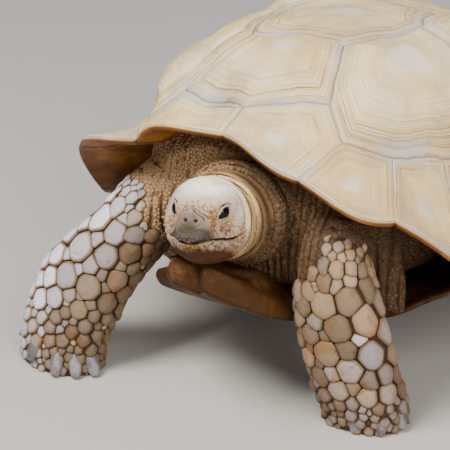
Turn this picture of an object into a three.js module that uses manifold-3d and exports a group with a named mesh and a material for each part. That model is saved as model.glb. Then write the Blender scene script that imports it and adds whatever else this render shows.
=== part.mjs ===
// Adult sulcata tortoise (Centrochelys sulcata), life size, walking with its right foreleg reaching forward.
//
// Millimetres, +Z up. The floor is z = 0, the animal faces -Y and its left side is +X. It is described
// round the middle of its shell; the last lines move the origin below the middle of the whole animal.
//
// The carapace is one smooth dome, described in polar form, on which every scute is a raised plate
// with an areola and growth steps. The plastron is built the same way, from below. Limbs, neck, head
// and tail are lofts along a bent line, whose large scales are fused on, and each is parted from what
// it grows from by a thin cut.

import * as THREE from "three";
import { mergeVertices } from "three/addons/utils/BufferGeometryUtils.js";
import Module from "manifold-3d";

const wasm = await Module();
wasm.setup();

const { Vector2, Vector3, Quaternion, MathUtils } = THREE;
const rad = MathUtils.degToRad;

// ---------------------------------------------------------------------------------------------------
// Driving dimensions
// ---------------------------------------------------------------------------------------------------

const GAP = 0.35; // clearance between nodes that meet
const ROOM = 1.15; // how much larger a rounded hollow is than what lies in it
const LEFT = 1;
const RIGHT = -1;

const SHELL_TOP = 349; // under the scutes, over the dome's centre
const DOME_CENTRE = -60; // its y

// Where the seams between neighbouring marginals meet the rim, front to rear, left side: x, y, z.
const RIM = [
  [0, -326, 293],
  [94, -339, 272],
  [184, -314, 243],
  [222, -240, 178],
  [238, -168, 140],
  [247, -84, 127],
  [250, -10, 122],
  [250, 64, 119],
  [244, 136, 119],
  [224, 204, 122],
  [174, 262, 122],
  [85, 302, 112],
  [0, 312, 98],
];

// Where the same seams meet the costals and vertebrals.
const INNER = [
  [0, -292, 309],
  [112, -292, 296],
  [139, -244, 272],
  [162, -184, 257],
  [190, -122, 228],
  [206, -55, 206],
  [212, 12, 194],
  [210, 76, 186],
  [199, 134, 180],
  [175, 186, 178],
  [128, 228, 180],
  [63, 256, 182],
  [0, 266, 182],
];

// The turn from the flat top of the dome to its sides.
const SHOULDER = [
  [0, -214, 348],
  [76, -207, 349],
  [112, -163, 333],
  [131, -97, 323],
  [138, -24, 311],
  [134, 52, 295],
  [109, 118, 277],
  [56, 158, 266],
  [0, 172, 267],
];

// Disc radius given to each of these lines, the dome's centre being 0.
const T_SHOULDER = 0.5;
const T_INNER = 0.8;

const SCUTE_RISE = 3; // plate above its seam
const VERTEBRAL_BULGE = 7;
const COSTAL_BULGE = 11;
const MARGINAL_BULGE = -3; // marginals are hollow, as their rim flares
const FLANK = 5; // how far the costals swell between the shoulder and the marginals
const FLANK_RIGHT = 12; // and how much more they do at the right front
const RIGHT_DROP = [9, 19]; // how much lower the right front is, at the shoulder and at the marginals
const SEAM_STEP = 42; // longest piece of a seam
const PLASTRON_STEP = 85;
const RIM_STEPS = 3; // pieces of a marginal's free edge
const RIM_LIP = 7; // thickness of the free edge
const SERRATION = 5; // how far a marginal's middle stands out past its seams

// How high the middle of each marginal's free edge stands above the line between its seams, front to rear.
const LIFT_LEFT = [-1, -9, 3, 3, 3, 3, 3, 4, 6, 9, 10, 10];
const LIFT_RIGHT = [14, 2, 4, 3, 3, 3, 3, 4, 6, 9, 10, 10];
const RIM_SAG = { drop: 15, turn: 0.95, spread: 0.17 }; // the right rim hangs lower over the elbow

// How far the marginals' undersides reach inwards, and how far they climb on the way.
const UNDER_FRONT = { depth: 62, climb: 4 };
const UNDER_BRIDGE = { depth: 37, climb: 20 };
const UNDER_REAR = { depth: 50, climb: 48 };

const PLASTRON_Z = 97;
const PLASTRON_THICK = 14;
const SINK = 0.09; // the shell is carried lower behind: slope of its underside
const SINK_FROM = -110;

const HEAD = {
  centre: new Vector3(16, -380, 227.5),
  yaw: 22, // turned towards its left
  pitch: 20, // nose up
};
// Each eye: centre, radius, where it looks (degrees from straight ahead), the half-sizes of the opening
// between its lids, how far that slants up towards the back, and the lids' thickness.
const EYE = { x: 15, y: -15.5, z: 9, radius: 10.5, outwards: 56, opening: [8.6, 4.9], slant: 40, lid: 2 };

// ---------------------------------------------------------------------------------------------------
// Small tools
// ---------------------------------------------------------------------------------------------------

// A repeatable random number source.
function randomFrom(seed) {
  let state = seed >>> 0;
  return () => {
    state = (state + 0x6d2b79f5) >>> 0;
    let t = state;
    t = Math.imul(t ^ (t >>> 15), t | 1);
    t ^= t + Math.imul(t ^ (t >>> 7), t | 61);
    return ((t ^ (t >>> 14)) >>> 0) / 4294967296;
  };
}

const clamp01 = (x) => Math.min(1, Math.max(0, x));
const smooth = (x) => clamp01(x) ** 2 * (3 - 2 * clamp01(x));
const mix = (a, b, f) => a + (b - a) * f;

// Cubic through (xs, ys) with slopes from the neighbours; the ends are flat where flatEnds is set.
function cubicThrough(xs, ys, flatEnds) {
  const last = xs.length - 1;
  const rise = (i) => (ys[i + 1] - ys[i]) / (xs[i + 1] - xs[i]);
  const slope = xs.map((_, i) => {
    if (i === 0) return flatEnds ? 0 : rise(0);
    if (i === last) return flatEnds ? 0 : rise(last - 1);
    const before = xs[i] - xs[i - 1];
    const after = xs[i + 1] - xs[i];
    return (rise(i - 1) * after + rise(i) * before) / (before + after);
  });
  return (x) => {
    let i = 0;
    while (i < last - 1 && x > xs[i + 1]) i++;
    const h = xs[i + 1] - xs[i];
    const f = clamp01((x - xs[i]) / h);
    const g = f * f * (3 - 2 * f);
    return ys[i] * (1 - g) + ys[i + 1] * g + h * f * (1 - f) * (slope[i] * (1 - f) - slope[i + 1] * f);
  };
}

// A closed triangle mesh in the making.
class Surface {
  constructor() {
    this.points = [];
    this.faces = [];
  }

  add(point) {
    return this.points.push(point.clone()) - 1;
  }

  loop(points) {
    return points.map((p) => this.add(p));
  }

  // Joins two closed loops of the same length.
  band(lower, upper) {
    const n = lower.length;
    for (let i = 0; i < n; i++) {
      const j = (i + 1) % n;
      this.faces.push([lower[i], lower[j], upper[j]], [lower[i], upper[j], upper[i]]);
    }
  }

  fan(loop, centre) {
    loop.forEach((a, i) => this.faces.push([a, loop[(i + 1) % loop.length], centre]));
  }

  solid() {
    const position = new Float32Array(this.faces.flat().flatMap((i) => this.points[i].toArray()));
    const geometry = new THREE.BufferGeometry();
    geometry.setAttribute("position", new THREE.BufferAttribute(position, 3));
    return solidOf(geometry);
  }
}

// A closed three.js geometry as a manifold-3d solid, turned to face out.
function solidOf(geometry) {
  const bare = geometry.clone();
  bare.deleteAttribute("normal");
  bare.deleteAttribute("uv");
  const merged = mergeVertices(bare, 1e-3);
  const vertProperties = merged.attributes.position.array;
  const triVerts = new Uint32Array(merged.index.array);
  if (volumeOf({ vertProperties, triVerts, numProp: 3 }) < 0) {
    for (let i = 0; i < triVerts.length; i += 3) {
      [triVerts[i + 1], triVerts[i + 2]] = [triVerts[i + 2], triVerts[i + 1]];
    }
  }
  return new wasm.Manifold(new wasm.Mesh({ numProp: 3, vertProperties, triVerts }));
}

// The volume that a closed mesh encloses, negative where it is inside out.
function volumeOf({ vertProperties, triVerts, numProp }) {
  const corner = (k) => new Vector3().fromArray(vertProperties, triVerts[k] * numProp);
  let sum = 0;
  for (let k = 0; k < triVerts.length; k += 3) {
    sum += corner(k).dot(corner(k + 1).cross(corner(k + 2))) / 6;
  }
  return sum;
}

function geometryOf(solid) {
  const meshes = solid.decompose().map((piece) => piece.getMesh());
  const volumes = meshes.map(volumeOf);
  const mesh = meshes[volumes.indexOf(Math.max(...volumes))];
  const geometry = new THREE.BufferGeometry();
  const position = new Float32Array(mesh.numVert * 3);
  for (let i = 0; i < mesh.numVert; i++) {
    position.set(mesh.vertProperties.subarray(i * mesh.numProp, i * mesh.numProp + 3), i * 3);
  }
  geometry.setAttribute("position", new THREE.BufferAttribute(position, 3));
  geometry.setIndex(new THREE.BufferAttribute(new Uint32Array(mesh.triVerts), 1));
  geometry.computeVertexNormals();
  return geometry;
}

const fuse = (solids) => solids.reduce((a, b) => a.add(b));

// All of space on the side of a plane that normal points to.
function beyond(point, normal) {
  const size = 1600;
  const turn = new Quaternion().setFromUnitVectors(new Vector3(0, 0, 1), normal.clone().normalize());
  const box = new THREE.BoxGeometry(size, size, size).translate(0, 0, size / 2);
  return solidOf(box.applyQuaternion(turn).translate(...point.toArray()));
}

// The piece of a solid on one side of a plane, half a gap away from the plane.
function sideOf(solid, point, normal) {
  const start = point.clone().addScaledVector(normal.clone().normalize(), GAP / 2);
  return solid.intersect(beyond(start, normal));
}

const aboveFloor = (solid) => solid.intersect(beyond(new Vector3(), new Vector3(0, 0, 1)));

// ---------------------------------------------------------------------------------------------------
// Lofts: limbs, neck, head, tail, claws and torso
// ---------------------------------------------------------------------------------------------------

// stations: { at, side, front, back, square } with half-sizes across (side) and towards each face.
// across is the rough direction of the section's side axis.
class Loft {
  constructor(stations, across, grow = 0) {
    const at = stations.map((s) => new Vector3(...s.at));
    const along = [0];
    for (let i = 1; i < at.length; i++) along.push(along[i - 1] + at[i].distanceTo(at[i - 1]));
    this.length = along[along.length - 1];
    const through = (pick) => cubicThrough(along, stations.map(pick), false);
    const lines = [0, 1, 2].map((k) => through((s) => s.at[k]));
    this.centre = (d) => new Vector3(...lines.map((line) => line(d)));
    this.side = through((s) => s.side);
    this.front = through((s) => s.front);
    this.back = through((s) => s.back ?? s.front);
    this.square = through((s) => s.square ?? 2.2);
    this.across = across;
    this.grow = grow;
    this.swell = null; // extra height at a point of the surface, where the loft has any
  }

  frame(d) {
    const step = 0.5;
    const a = this.centre(Math.max(0, d - step));
    const b = this.centre(Math.min(this.length, d + step));
    const tangent = b.sub(a).normalize();
    const side = this.across.clone().addScaledVector(tangent, -this.across.dot(tangent)).normalize();
    const front = new Vector3().crossVectors(tangent, side);
    return { tangent, side, front };
  }

  // The point at distance d along the loft and angle around it: 0 is the side axis, 90 degrees the front.
  point(d, angle, rise = 0) {
    const { side, front } = this.frame(d);
    const c = Math.cos(angle);
    const s = Math.sin(angle);
    const power = 2 / this.square(d);
    const reach = this.grow + rise;
    const u = Math.sign(c) * Math.abs(c) ** power * (this.side(d) + reach);
    const v = Math.sign(s) * Math.abs(s) ** power * ((s > 0 ? this.front(d) : this.back(d)) + reach);
    const offset = side.multiplyScalar(u).addScaledVector(front, v);
    const point = this.centre(d).add(offset);
    return this.swell ? point.addScaledVector(offset.normalize(), this.swell(point)) : point;
  }

  ring(d, sides) {
    return Array.from({ length: sides }, (_, i) => this.point(d, (i / sides) * 2 * Math.PI));
  }

  // rings: how many sections; round: how far each end is domed, as a share of its radius.
  surface(rings, sides, round = [0.35, 0.35]) {
    const made = new Surface();
    const loops = [];
    for (let k = 0; k < rings; k++) {
      loops.push(made.loop(this.ring((this.length * k) / (rings - 1), sides)));
    }
    for (let k = 1; k < rings; k++) made.band(loops[k - 1], loops[k]);
    [0, 1].forEach((end) => {
      const d = end * this.length;
      const outward = this.frame(d).tangent.multiplyScalar(end ? 1 : -1);
      const middle = this.centre(d);
      const depth = round[end] * Math.min(this.side(d), this.front(d)) + this.grow;
      const shrink = 0.72;
      const inner = this.ring(d, sides).map((p) =>
        p.lerp(middle, 1 - shrink).addScaledVector(outward, depth * 0.75),
      );
      const innerLoop = made.loop(inner);
      const tip = made.add(middle.clone().addScaledVector(outward, depth));
      if (end) {
        made.band(loops[rings - 1], innerLoop);
        made.fan(innerLoop, tip);
      } else {
        made.band(innerLoop, loops[0]);
        made.fan(innerLoop.slice().reverse(), tip);
      }
    });
    return made;
  }

  solid(rings, sides, round) {
    return this.surface(rings, sides, round).solid();
  }
}

// ---------------------------------------------------------------------------------------------------
// Scales: a pavement of plates of mixed size on part of a loft
// ---------------------------------------------------------------------------------------------------

const SEED_SPACING = 0.9; // least distance of two seeds, as a share of the sum of their radii

// Seeds spread over a width x height patch, none closer to another than their two radii allow.
function scatter(random, width, height, radiusAt, tries) {
  const seeds = [];
  for (let k = 0; k < tries; k++) {
    const x = random() * width;
    const y = random() * height;
    const wanted = radiusAt(x, y);
    const r = wanted * mix(0.72, 1.2, random() * clamp01(2 - (2 * k) / tries));
    const isFree = seeds.every((s) => Math.hypot(s.x - x, s.y - y) > (s.r + r) * SEED_SPACING);
    if (wanted > 0 && isFree) seeds.push({ x, y, r });
  }
  return seeds;
}

// The part of a convex polygon where (p - at) . normal <= 0.
function clip(polygon, at, normal) {
  const kept = [];
  polygon.forEach((p, i) => {
    const q = polygon[(i + 1) % polygon.length];
    const dp = (p.x - at.x) * normal.x + (p.y - at.y) * normal.y;
    const dq = (q.x - at.x) * normal.x + (q.y - at.y) * normal.y;
    if (dp <= 0) kept.push(p);
    if (dp < 0 !== dq < 0) kept.push(p.clone().lerp(q, dp / (dp - dq)));
  });
  return kept;
}

// Each seed's cell, where its neighbours' cells are cut back from it by half a groove.
function cellOf(seed, seeds, groove, reach = 1.45) {
  const corners = 6;
  let cell = Array.from({ length: corners }, (_, i) => {
    const a = ((i + 0.5) / corners) * 2 * Math.PI;
    return new Vector2(seed.x + Math.cos(a) * seed.r * reach, seed.y + Math.sin(a) * seed.r * reach);
  });
  for (const other of seeds) {
    const away = new Vector2(other.x - seed.x, other.y - seed.y);
    const distance = away.length();
    if (other === seed || distance > (seed.r + other.r) * 2.2) continue;
    away.divideScalar(distance);
    const middle = (distance * distance + seed.r ** 2 - other.r ** 2) / (2 * distance) - groove / 2;
    cell = clip(cell, new Vector2(seed.x, seed.y).addScaledVector(away, middle), away);
    if (cell.length < 3) return [];
  }
  return dropShort(cell, seed.r * 0.3);
}

// A polygon without its shortest edges, so that its faces stay well shaped.
function dropShort(cell, least) {
  const kept = cell.filter((p, i) => p.distanceTo(cell[(i + 1) % cell.length]) > least);
  return kept.length >= 4 ? kept : [];
}

// A raised plate: a sunk root, a sloped wall and a low pyramid on top.
// The edge towards the foot stands highest.
function plate(loft, patch, seed, cell, rise) {
  const sunk = -5;
  const topShare = 0.8;
  const place = (p, h) => loft.point(patch.from + p.y, patch.angle + p.x / patch.around, h);
  const centre = new Vector2(seed.x, seed.y);
  const lift = (p) => rise * (1 + (0.35 * (p.y - seed.y)) / seed.r);
  const made = new Surface();
  const root = made.loop(cell.map((p) => place(p, sunk)));
  const top = made.loop(cell.map((p) => place(p.clone().lerp(centre, 1 - topShare), lift(p))));
  made.band(root, top);
  made.fan(top, made.add(place(centre, rise * 1.35)));
  made.fan(root.slice().reverse(), made.add(place(centre, sunk)));
  return made.solid();
}

// patch: from (distance along the loft), height, angle (where it starts), around (mm per radian)
// and span (radians).
function scales(loft, patch, random, radiusAt, rise, least) {
  const width = patch.span * patch.around;
  const seeds = scatter(random, width, patch.height, radiusAt, patch.tries);
  return seeds
    .filter((seed) => seed.r >= least)
    .map((seed) => [seed, cellOf(seed, seeds, 1.6)])
    .filter(([, cell]) => cell.length)
    .map(([seed, cell]) => plate(loft, patch, seed, cell, rise * Math.min(1, seed.r / 10)));
}

// ---------------------------------------------------------------------------------------------------
// The dome: a point of the unit disc to a point of the carapace
// ---------------------------------------------------------------------------------------------------

// Distance from the axis and height of a line of points, by direction: 0 is the front, 180 the rear.
function polarLine(points) {
  const angles = points.map(([x, y]) => Math.atan2(x, DOME_CENTRE - y));
  return {
    reach: cubicThrough(angles, points.map(([x, y]) => Math.hypot(x, y - DOME_CENTRE)), true),
    height: cubicThrough(angles, points.map(([, , z]) => z), true),
  };
}

const rimLine = polarLine(RIM);
const innerLine = polarLine(INNER);
const shoulderLine = polarLine(SHOULDER);

function domePoint(disc) {
  const t = disc.length();
  const turn = Math.atan2(Math.abs(disc.x), -disc.y);
  const knots = [-T_SHOULDER, 0, T_SHOULDER, T_INNER, 1];
  const lines = [shoulderLine, innerLine, rimLine];
  const reaches = lines.map((line) => line.reach(turn));
  const heights = lines.map((line) => line.height(turn));
  const rightFront = disc.x < 0 ? smooth(2.6 - turn * 1.4) : 0;
  heights[0] -= RIGHT_DROP[0] * rightFront * smooth(turn * 4);
  heights[1] -= RIGHT_DROP[1] * rightFront * smooth(turn * 4);
  if (disc.x < 0) heights[2] -= RIM_SAG.drop * Math.exp(-(((turn - RIM_SAG.turn) / RIM_SAG.spread) ** 2));
  const between = clamp01((t - T_SHOULDER) / (T_INNER - T_SHOULDER));
  const swell = Math.sin(Math.PI * between ** 1.25) ** 1.5 * smooth(turn * 5 - 2);
  const flank = (FLANK + FLANK_RIGHT * rightFront) * swell;
  const reach = cubicThrough(knots, [-reaches[0], 0, ...reaches], false)(t) + flank;
  const height = cubicThrough(knots, [heights[0], SHELL_TOP, ...heights], false)(t) + flank;
  const direction = t > 1e-9 ? disc.clone().divideScalar(t) : new Vector2(0, -1);
  return new Vector3(direction.x * reach, DOME_CENTRE + direction.y * reach, height);
}

function normalAt(surface, disc) {
  const step = 2e-3;
  const at = (x, y) => surface(new Vector2(disc.x + x, disc.y + y));
  const dx = at(step, 0).sub(at(-step, 0));
  const dy = at(0, step).sub(at(0, -step));
  return dx.cross(dy).normalize();
}

// The disc point whose place on the dome is above (x, y).
function discAt(x, y) {
  const direction = new Vector2(x, y - DOME_CENTRE).normalize();
  const wanted = Math.hypot(x, y - DOME_CENTRE);
  let low = 0;
  let high = 1;
  for (let k = 0; k < 40; k++) {
    const t = (low + high) / 2;
    const p = domePoint(direction.clone().multiplyScalar(t));
    if (Math.hypot(p.x, p.y - DOME_CENTRE) < wanted) low = t;
    else high = t;
  }
  return direction.multiplyScalar(low);
}

// ---------------------------------------------------------------------------------------------------
// Scutes: plates that share their seams
// ---------------------------------------------------------------------------------------------------

// corners: name to disc point. A scute is { corners: [names, in order round it], areola, bulge }.
class Scutes {
  constructor(surface, corners, edgePoint, step) {
    this.surface = surface;
    this.step = step;
    this.corners = corners;
    this.edgePoint = edgePoint;
    this.made = new Surface();
    this.cornerIndex = new Map();
    this.edges = new Map();
  }

  corner(name) {
    if (!this.cornerIndex.has(name)) {
      this.cornerIndex.set(name, this.made.add(this.edgePoint(name, name, 0, this.corners[name])));
    }
    return this.cornerIndex.get(name);
  }

  // The points of the seam from a to b without b, as [disc point, index].
  seam(a, b) {
    const key = a < b ? `${a}|${b}` : `${b}|${a}`;
    if (!this.edges.has(key)) {
      const [first, second] = key.split("|");
      const p = this.corners[first];
      const q = this.corners[second];
      const onRim = first[0] === "r" && second[0] === "r";
      const length = this.surface(p).distanceTo(this.surface(q));
      const pieces = onRim ? RIM_STEPS : Math.max(1, Math.round(length / this.step));
      const inner = [];
      for (let k = 1; k < pieces; k++) {
        const f = k / pieces;
        const disc = p.clone().lerp(q, f);
        inner.push([disc, this.made.add(this.edgePoint(first, second, f, disc))]);
      }
      this.edges.set(key, inner);
    }
    const inner = this.edges.get(key);
    return [[this.corners[a], this.corner(a)], ...(a < b ? inner : inner.slice().reverse())];
  }

  // Rises by step from the seam, then gently to bulge at the areola.
  raise({ corners, areola, bulge, step }) {
    const outline = corners.flatMap((name, i) => this.seam(name, corners[(i + 1) % corners.length]));
    const steps = [
      [0.9, step],
      [0.62, mix(step, bulge, 0.55)],
      [0.3, mix(step, bulge, 0.92)],
    ];
    const lifted = (disc, height) => {
      const p = this.surface(disc);
      return p.addScaledVector(normalAt(this.surface, disc), height);
    };
    let outer = outline.map(([, index]) => index);
    for (const [share, height] of steps) {
      const ring = outline.map(([disc]) => lifted(areola.clone().lerp(disc, share), height));
      const inner = this.made.loop(ring);
      this.made.band(outer, inner);
      outer = inner;
    }
    this.made.fan(outer, this.made.add(lifted(areola, bulge)));
  }
}

// ---------------------------------------------------------------------------------------------------
// Carapace
// ---------------------------------------------------------------------------------------------------

const MARGINALS = 11;
const onDisc = (x, y, t) => new Vector2(x, y - DOME_CENTRE).normalize().multiplyScalar(t);

// Corners of the scutes on one side; "r" names are on the rim, "i" names on the marginals' inner seam.
function carapaceCorners() {
  const corners = {};
  const put = (name, x, y, t) => {
    const disc = t === undefined ? discAt(x, y) : onDisc(x, y, t);
    corners[name + "L"] = disc;
    corners[name + "R"] = new Vector2(-disc.x, disc.y);
  };
  RIM.slice(1, -1).forEach(([x, y], k) => put(`r${k + 1}`, x, y, 1));
  INNER.slice(1, -1).forEach(([x, y], k) => put(`i${k + 1}`, x, y, T_INNER));
  // The vertebral-costal seams zigzag: a corners lie at the seams between vertebrals, b corners at those
  // between costals.
  put("iv", 84, -270);
  put("a1", 54, -196);
  put("b1", 76, -78);
  put("a2", 58, -18);
  put("b2", 86, 60);
  put("a3", 58, 118);
  put("b3", 78, 178);
  put("a4", 44, 220);
  // Where the costal seams meet the marginals.
  put("s1", 199, -92, T_INNER);
  put("s2", 212, 44, T_INNER);
  put("s3", 190, 160, T_INNER);
  put("s4", 97, 243, T_INNER);
  corners.r0 = new Vector2(0, -1);
  corners.i0 = new Vector2(0, -T_INNER);
  return corners;
}

function carapaceScutes(corners) {
  const middle = (names) => {
    const sum = names.reduce((s, name) => s.add(corners[name]), new Vector2());
    return sum.divideScalar(names.length);
  };
  const scutes = [];
  const add = (names, areola, bulge) =>
    scutes.push({ corners: names, areola, bulge, step: bulge > 0 ? SCUTE_RISE : SCUTE_RISE / 2 });
  const both = (names) => [...names.map((n) => n + "L"), ...names.slice().reverse().map((n) => n + "R")];
  const vertebral = (names, y) => add(names, discAt(0, y), VERTEBRAL_BULGE);
  vertebral(["i0", "ivL", "a1L", "a1R", "ivR"], -216);
  vertebral(both(["a1", "b1", "a2"]), -96);
  vertebral(both(["a2", "b2", "a3"]), 54);
  vertebral(both(["a3", "b3", "a4"]), 170);
  vertebral(both(["a4", "s4", "i11"]), 236);
  for (const side of ["L", "R"]) {
    const named = (names) => {
      const full = names.map((n) => (corners[n] ? n : n + side));
      return side === "L" ? full : full.reverse();
    };
    const costal = (names, x, y) =>
      add(named(names), discAt(side === "L" ? x : -x, y), COSTAL_BULGE);
    costal(["iv", "i1", "i2", "i3", "i4", "s1", "b1", "a1"], 98, -172);
    costal(["s1", "i5", "i6", "s2", "b2", "a2", "b1"], 130, -16);
    costal(["s2", "i7", "i8", "s3", "b3", "a3", "b2"], 130, 104);
    costal(["s3", "i9", "i10", "s4", "a4", "b3"], 114, 182);
    const extra = { 1: ["i1", "iv"], 5: ["i5", "s1"], 7: ["i7", "s2"], 9: ["i9", "s3"], 11: ["i11", "s4"] };
    for (let k = 1; k <= MARGINALS; k++) {
      const names = named([`r${k - 1}`, `r${k}`, ...(extra[k] ?? [`i${k}`]), `i${k - 1}`]);
      const rim = middle(names.filter((n) => n[0] === "r"));
      add(names, middle(names).lerp(rim, 0.25), MARGINAL_BULGE);
    }
  }
  add(["r11L", "r11R", "i11R", "i11L"], new Vector2(0, 0.9), MARGINAL_BULGE);
  return scutes;
}

// How strongly the rim flares in each direction: all at the front and rear, least over the bridge.
function flareAt(disc) {
  return 0.35 + 0.65 * smooth(Math.abs(disc.y) * 1.5 - 0.5);
}

function carapaceSolid() {
  const corners = carapaceCorners();
  const edgePoint = (a, b, f, disc) => {
    if (a[0] !== "r" || b[0] !== "r") return domePoint(disc);
    const onRim = disc.clone().normalize();
    const point = domePoint(onRim);
    const [from, to] = [a, b].map((name) => Number.parseInt(name.slice(1)));
    const outwards = to > from ? f : 1 - f;
    const k = Math.min(from, to);
    const onRight = a.endsWith("R") || b.endsWith("R");
    // The free edges peak near their outer seam, most so the first on the right; the rearmost in its middle.
    const skew = k === MARGINALS ? 1 : k === 0 && onRight ? 2.2 : 1.5;
    const wave = Math.sin(Math.PI * outwards ** skew);
    point.x += onRim.x * SERRATION * flareAt(onRim) * wave;
    point.y += onRim.y * SERRATION * flareAt(onRim) * wave;
    point.z += (onRight ? LIFT_RIGHT : LIFT_LEFT)[k] * wave;
    return point;
  };
  const shell = new Scutes(domePoint, corners, edgePoint, SEAM_STEP);
  carapaceScutes(corners).forEach((scute) => shell.raise(scute));

  // The underside starts at the rim, in order round the animal.
  const { made } = shell;
  const names = ["r0"];
  for (let k = 1; k <= MARGINALS; k++) names.push(`r${k}L`);
  for (let k = MARGINALS; k >= 1; k--) names.push(`r${k}R`);
  const rim = names.flatMap((name, i) => shell.seam(name, names[(i + 1) % names.length]));
  const inwards = (share, drop, climb) =>
    rim.map(([disc, index]) => {
      const p = made.points[index].clone();
      const front = smooth(-disc.y * 1.6 - 0.55);
      const rear = smooth(disc.y * 1.6 - 0.55);
      const blend = (key) =>
        front * UNDER_FRONT[key] + rear * UNDER_REAR[key] + (1 - front - rear) * UNDER_BRIDGE[key];
      const depth = blend("depth") * share;
      const reach = Math.hypot(p.x, p.y - DOME_CENTRE);
      p.x *= 1 - depth / reach;
      p.y = DOME_CENTRE + (p.y - DOME_CENTRE) * (1 - depth / reach);
      p.z += -drop + climb * blend("climb");
      return p;
    });
  const top = rim.map(([, index]) => index);
  const lip = made.loop(inwards(0.03, RIM_LIP, 0));
  const under = made.loop(inwards(0.5, RIM_LIP + 5, 0.35));
  const inner = made.loop(inwards(1, RIM_LIP + 4, 1));
  made.band(lip, top);
  made.band(under, lip);
  made.band(inner, under);
  made.fan(inner.slice().reverse(), made.add(new Vector3(0, -40, 190)));
  return made.solid();
}

// ---------------------------------------------------------------------------------------------------
// Torso: the body between the shells
// ---------------------------------------------------------------------------------------------------

// y, half width, bottom, top
const TORSO = [
  [-286, 108, 132, 262],
  [-262, 134, 120, 272],
  [-205, 164, 112, 288],
  [-110, 176, 108, 300],
  [-10, 180, 104, 292],
  [80, 174, 100, 270],
  [150, 152, 98, 232],
  [205, 122, 98, 190],
  [228, 98, 104, 170],
];

function torsoLoft(grow) {
  const stations = TORSO.map(([y, half, low, high]) => ({
    at: [0, y, (low + high) / 2],
    side: half,
    front: (high - low) / 2,
    square: 2.6,
  }));
  return new Loft(stations, new Vector3(1, 0, 0), grow);
}

// The loose skin that hangs in front of the bridge, from top to bottom: x, y, z, half width.
const CURTAIN = [
  [122, -240, 206, 14],
  [133, -248, 172, 17],
  [136, -246, 140, 17],
  [136, -242, 114, 14],
];

function curtain(side, grow) {
  const stations = CURTAIN.map(([x, y, z, half]) => ({
    at: [side * x, y, z],
    side: half,
    front: half,
    square: 2,
  }));
  return new Loft(stations, new Vector3(1, 0, 0), grow).solid(4, 6, [0.6, 0.6]);
}

const torsoSolid = (grow) =>
  fuse([torsoLoft(grow).solid(11, 18, [0.12, 0.12]), curtain(LEFT, grow), curtain(RIGHT, grow)]);

// ---------------------------------------------------------------------------------------------------
// Plastron, with the bridge up to the marginals
// ---------------------------------------------------------------------------------------------------

// Its outline on the left, front to rear.
const PLASTRON = {
  notch: [0, -366],
  gular: [19, -384],
  gularSide: [44, -352],
  humeral: [64, -308],
  axilla: [74, -246],
  bridgeFront: [196, -226],
  bridgeA: [210, -130],
  bridgeB: [213, -30],
  bridgeC: [212, 60],
  bridgeRear: [197, 138],
  inguinal: [86, 156],
  femoral: [76, 226],
  anal: [42, 268],
  analNotch: [0, 244],
};
// The right foreleg reaches forward, clear of the lobe, which is seen whole; the left one leans on it.
const PLASTRON_RIGHT = { humeral: [86, -316], axilla: [88, -250] };

// Seams of the plastron where they cross the midline.
const MIDLINE = {
  gularHumeral: -318,
  humeralPectoral: -205,
  pectoralAbdominal: -150,
  abdominalFemoral: 58,
  femoralAnal: 176,
};

// Height of the plastron's underside above (x, y).
function plastronHeight(x, y) {
  const bridge = smooth((Math.abs(x) - 118) / 96) * 44;
  const prow = 60 * clamp01((-y - 270) / 116) ** 1.6;
  const stern = 10 * clamp01((y - 190) / 80) ** 1.5;
  const behind = Math.max(0, y - SINK_FROM);
  return PLASTRON_Z + bridge + prow + stern - (SINK * behind ** 2) / (behind + 50);
}

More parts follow.
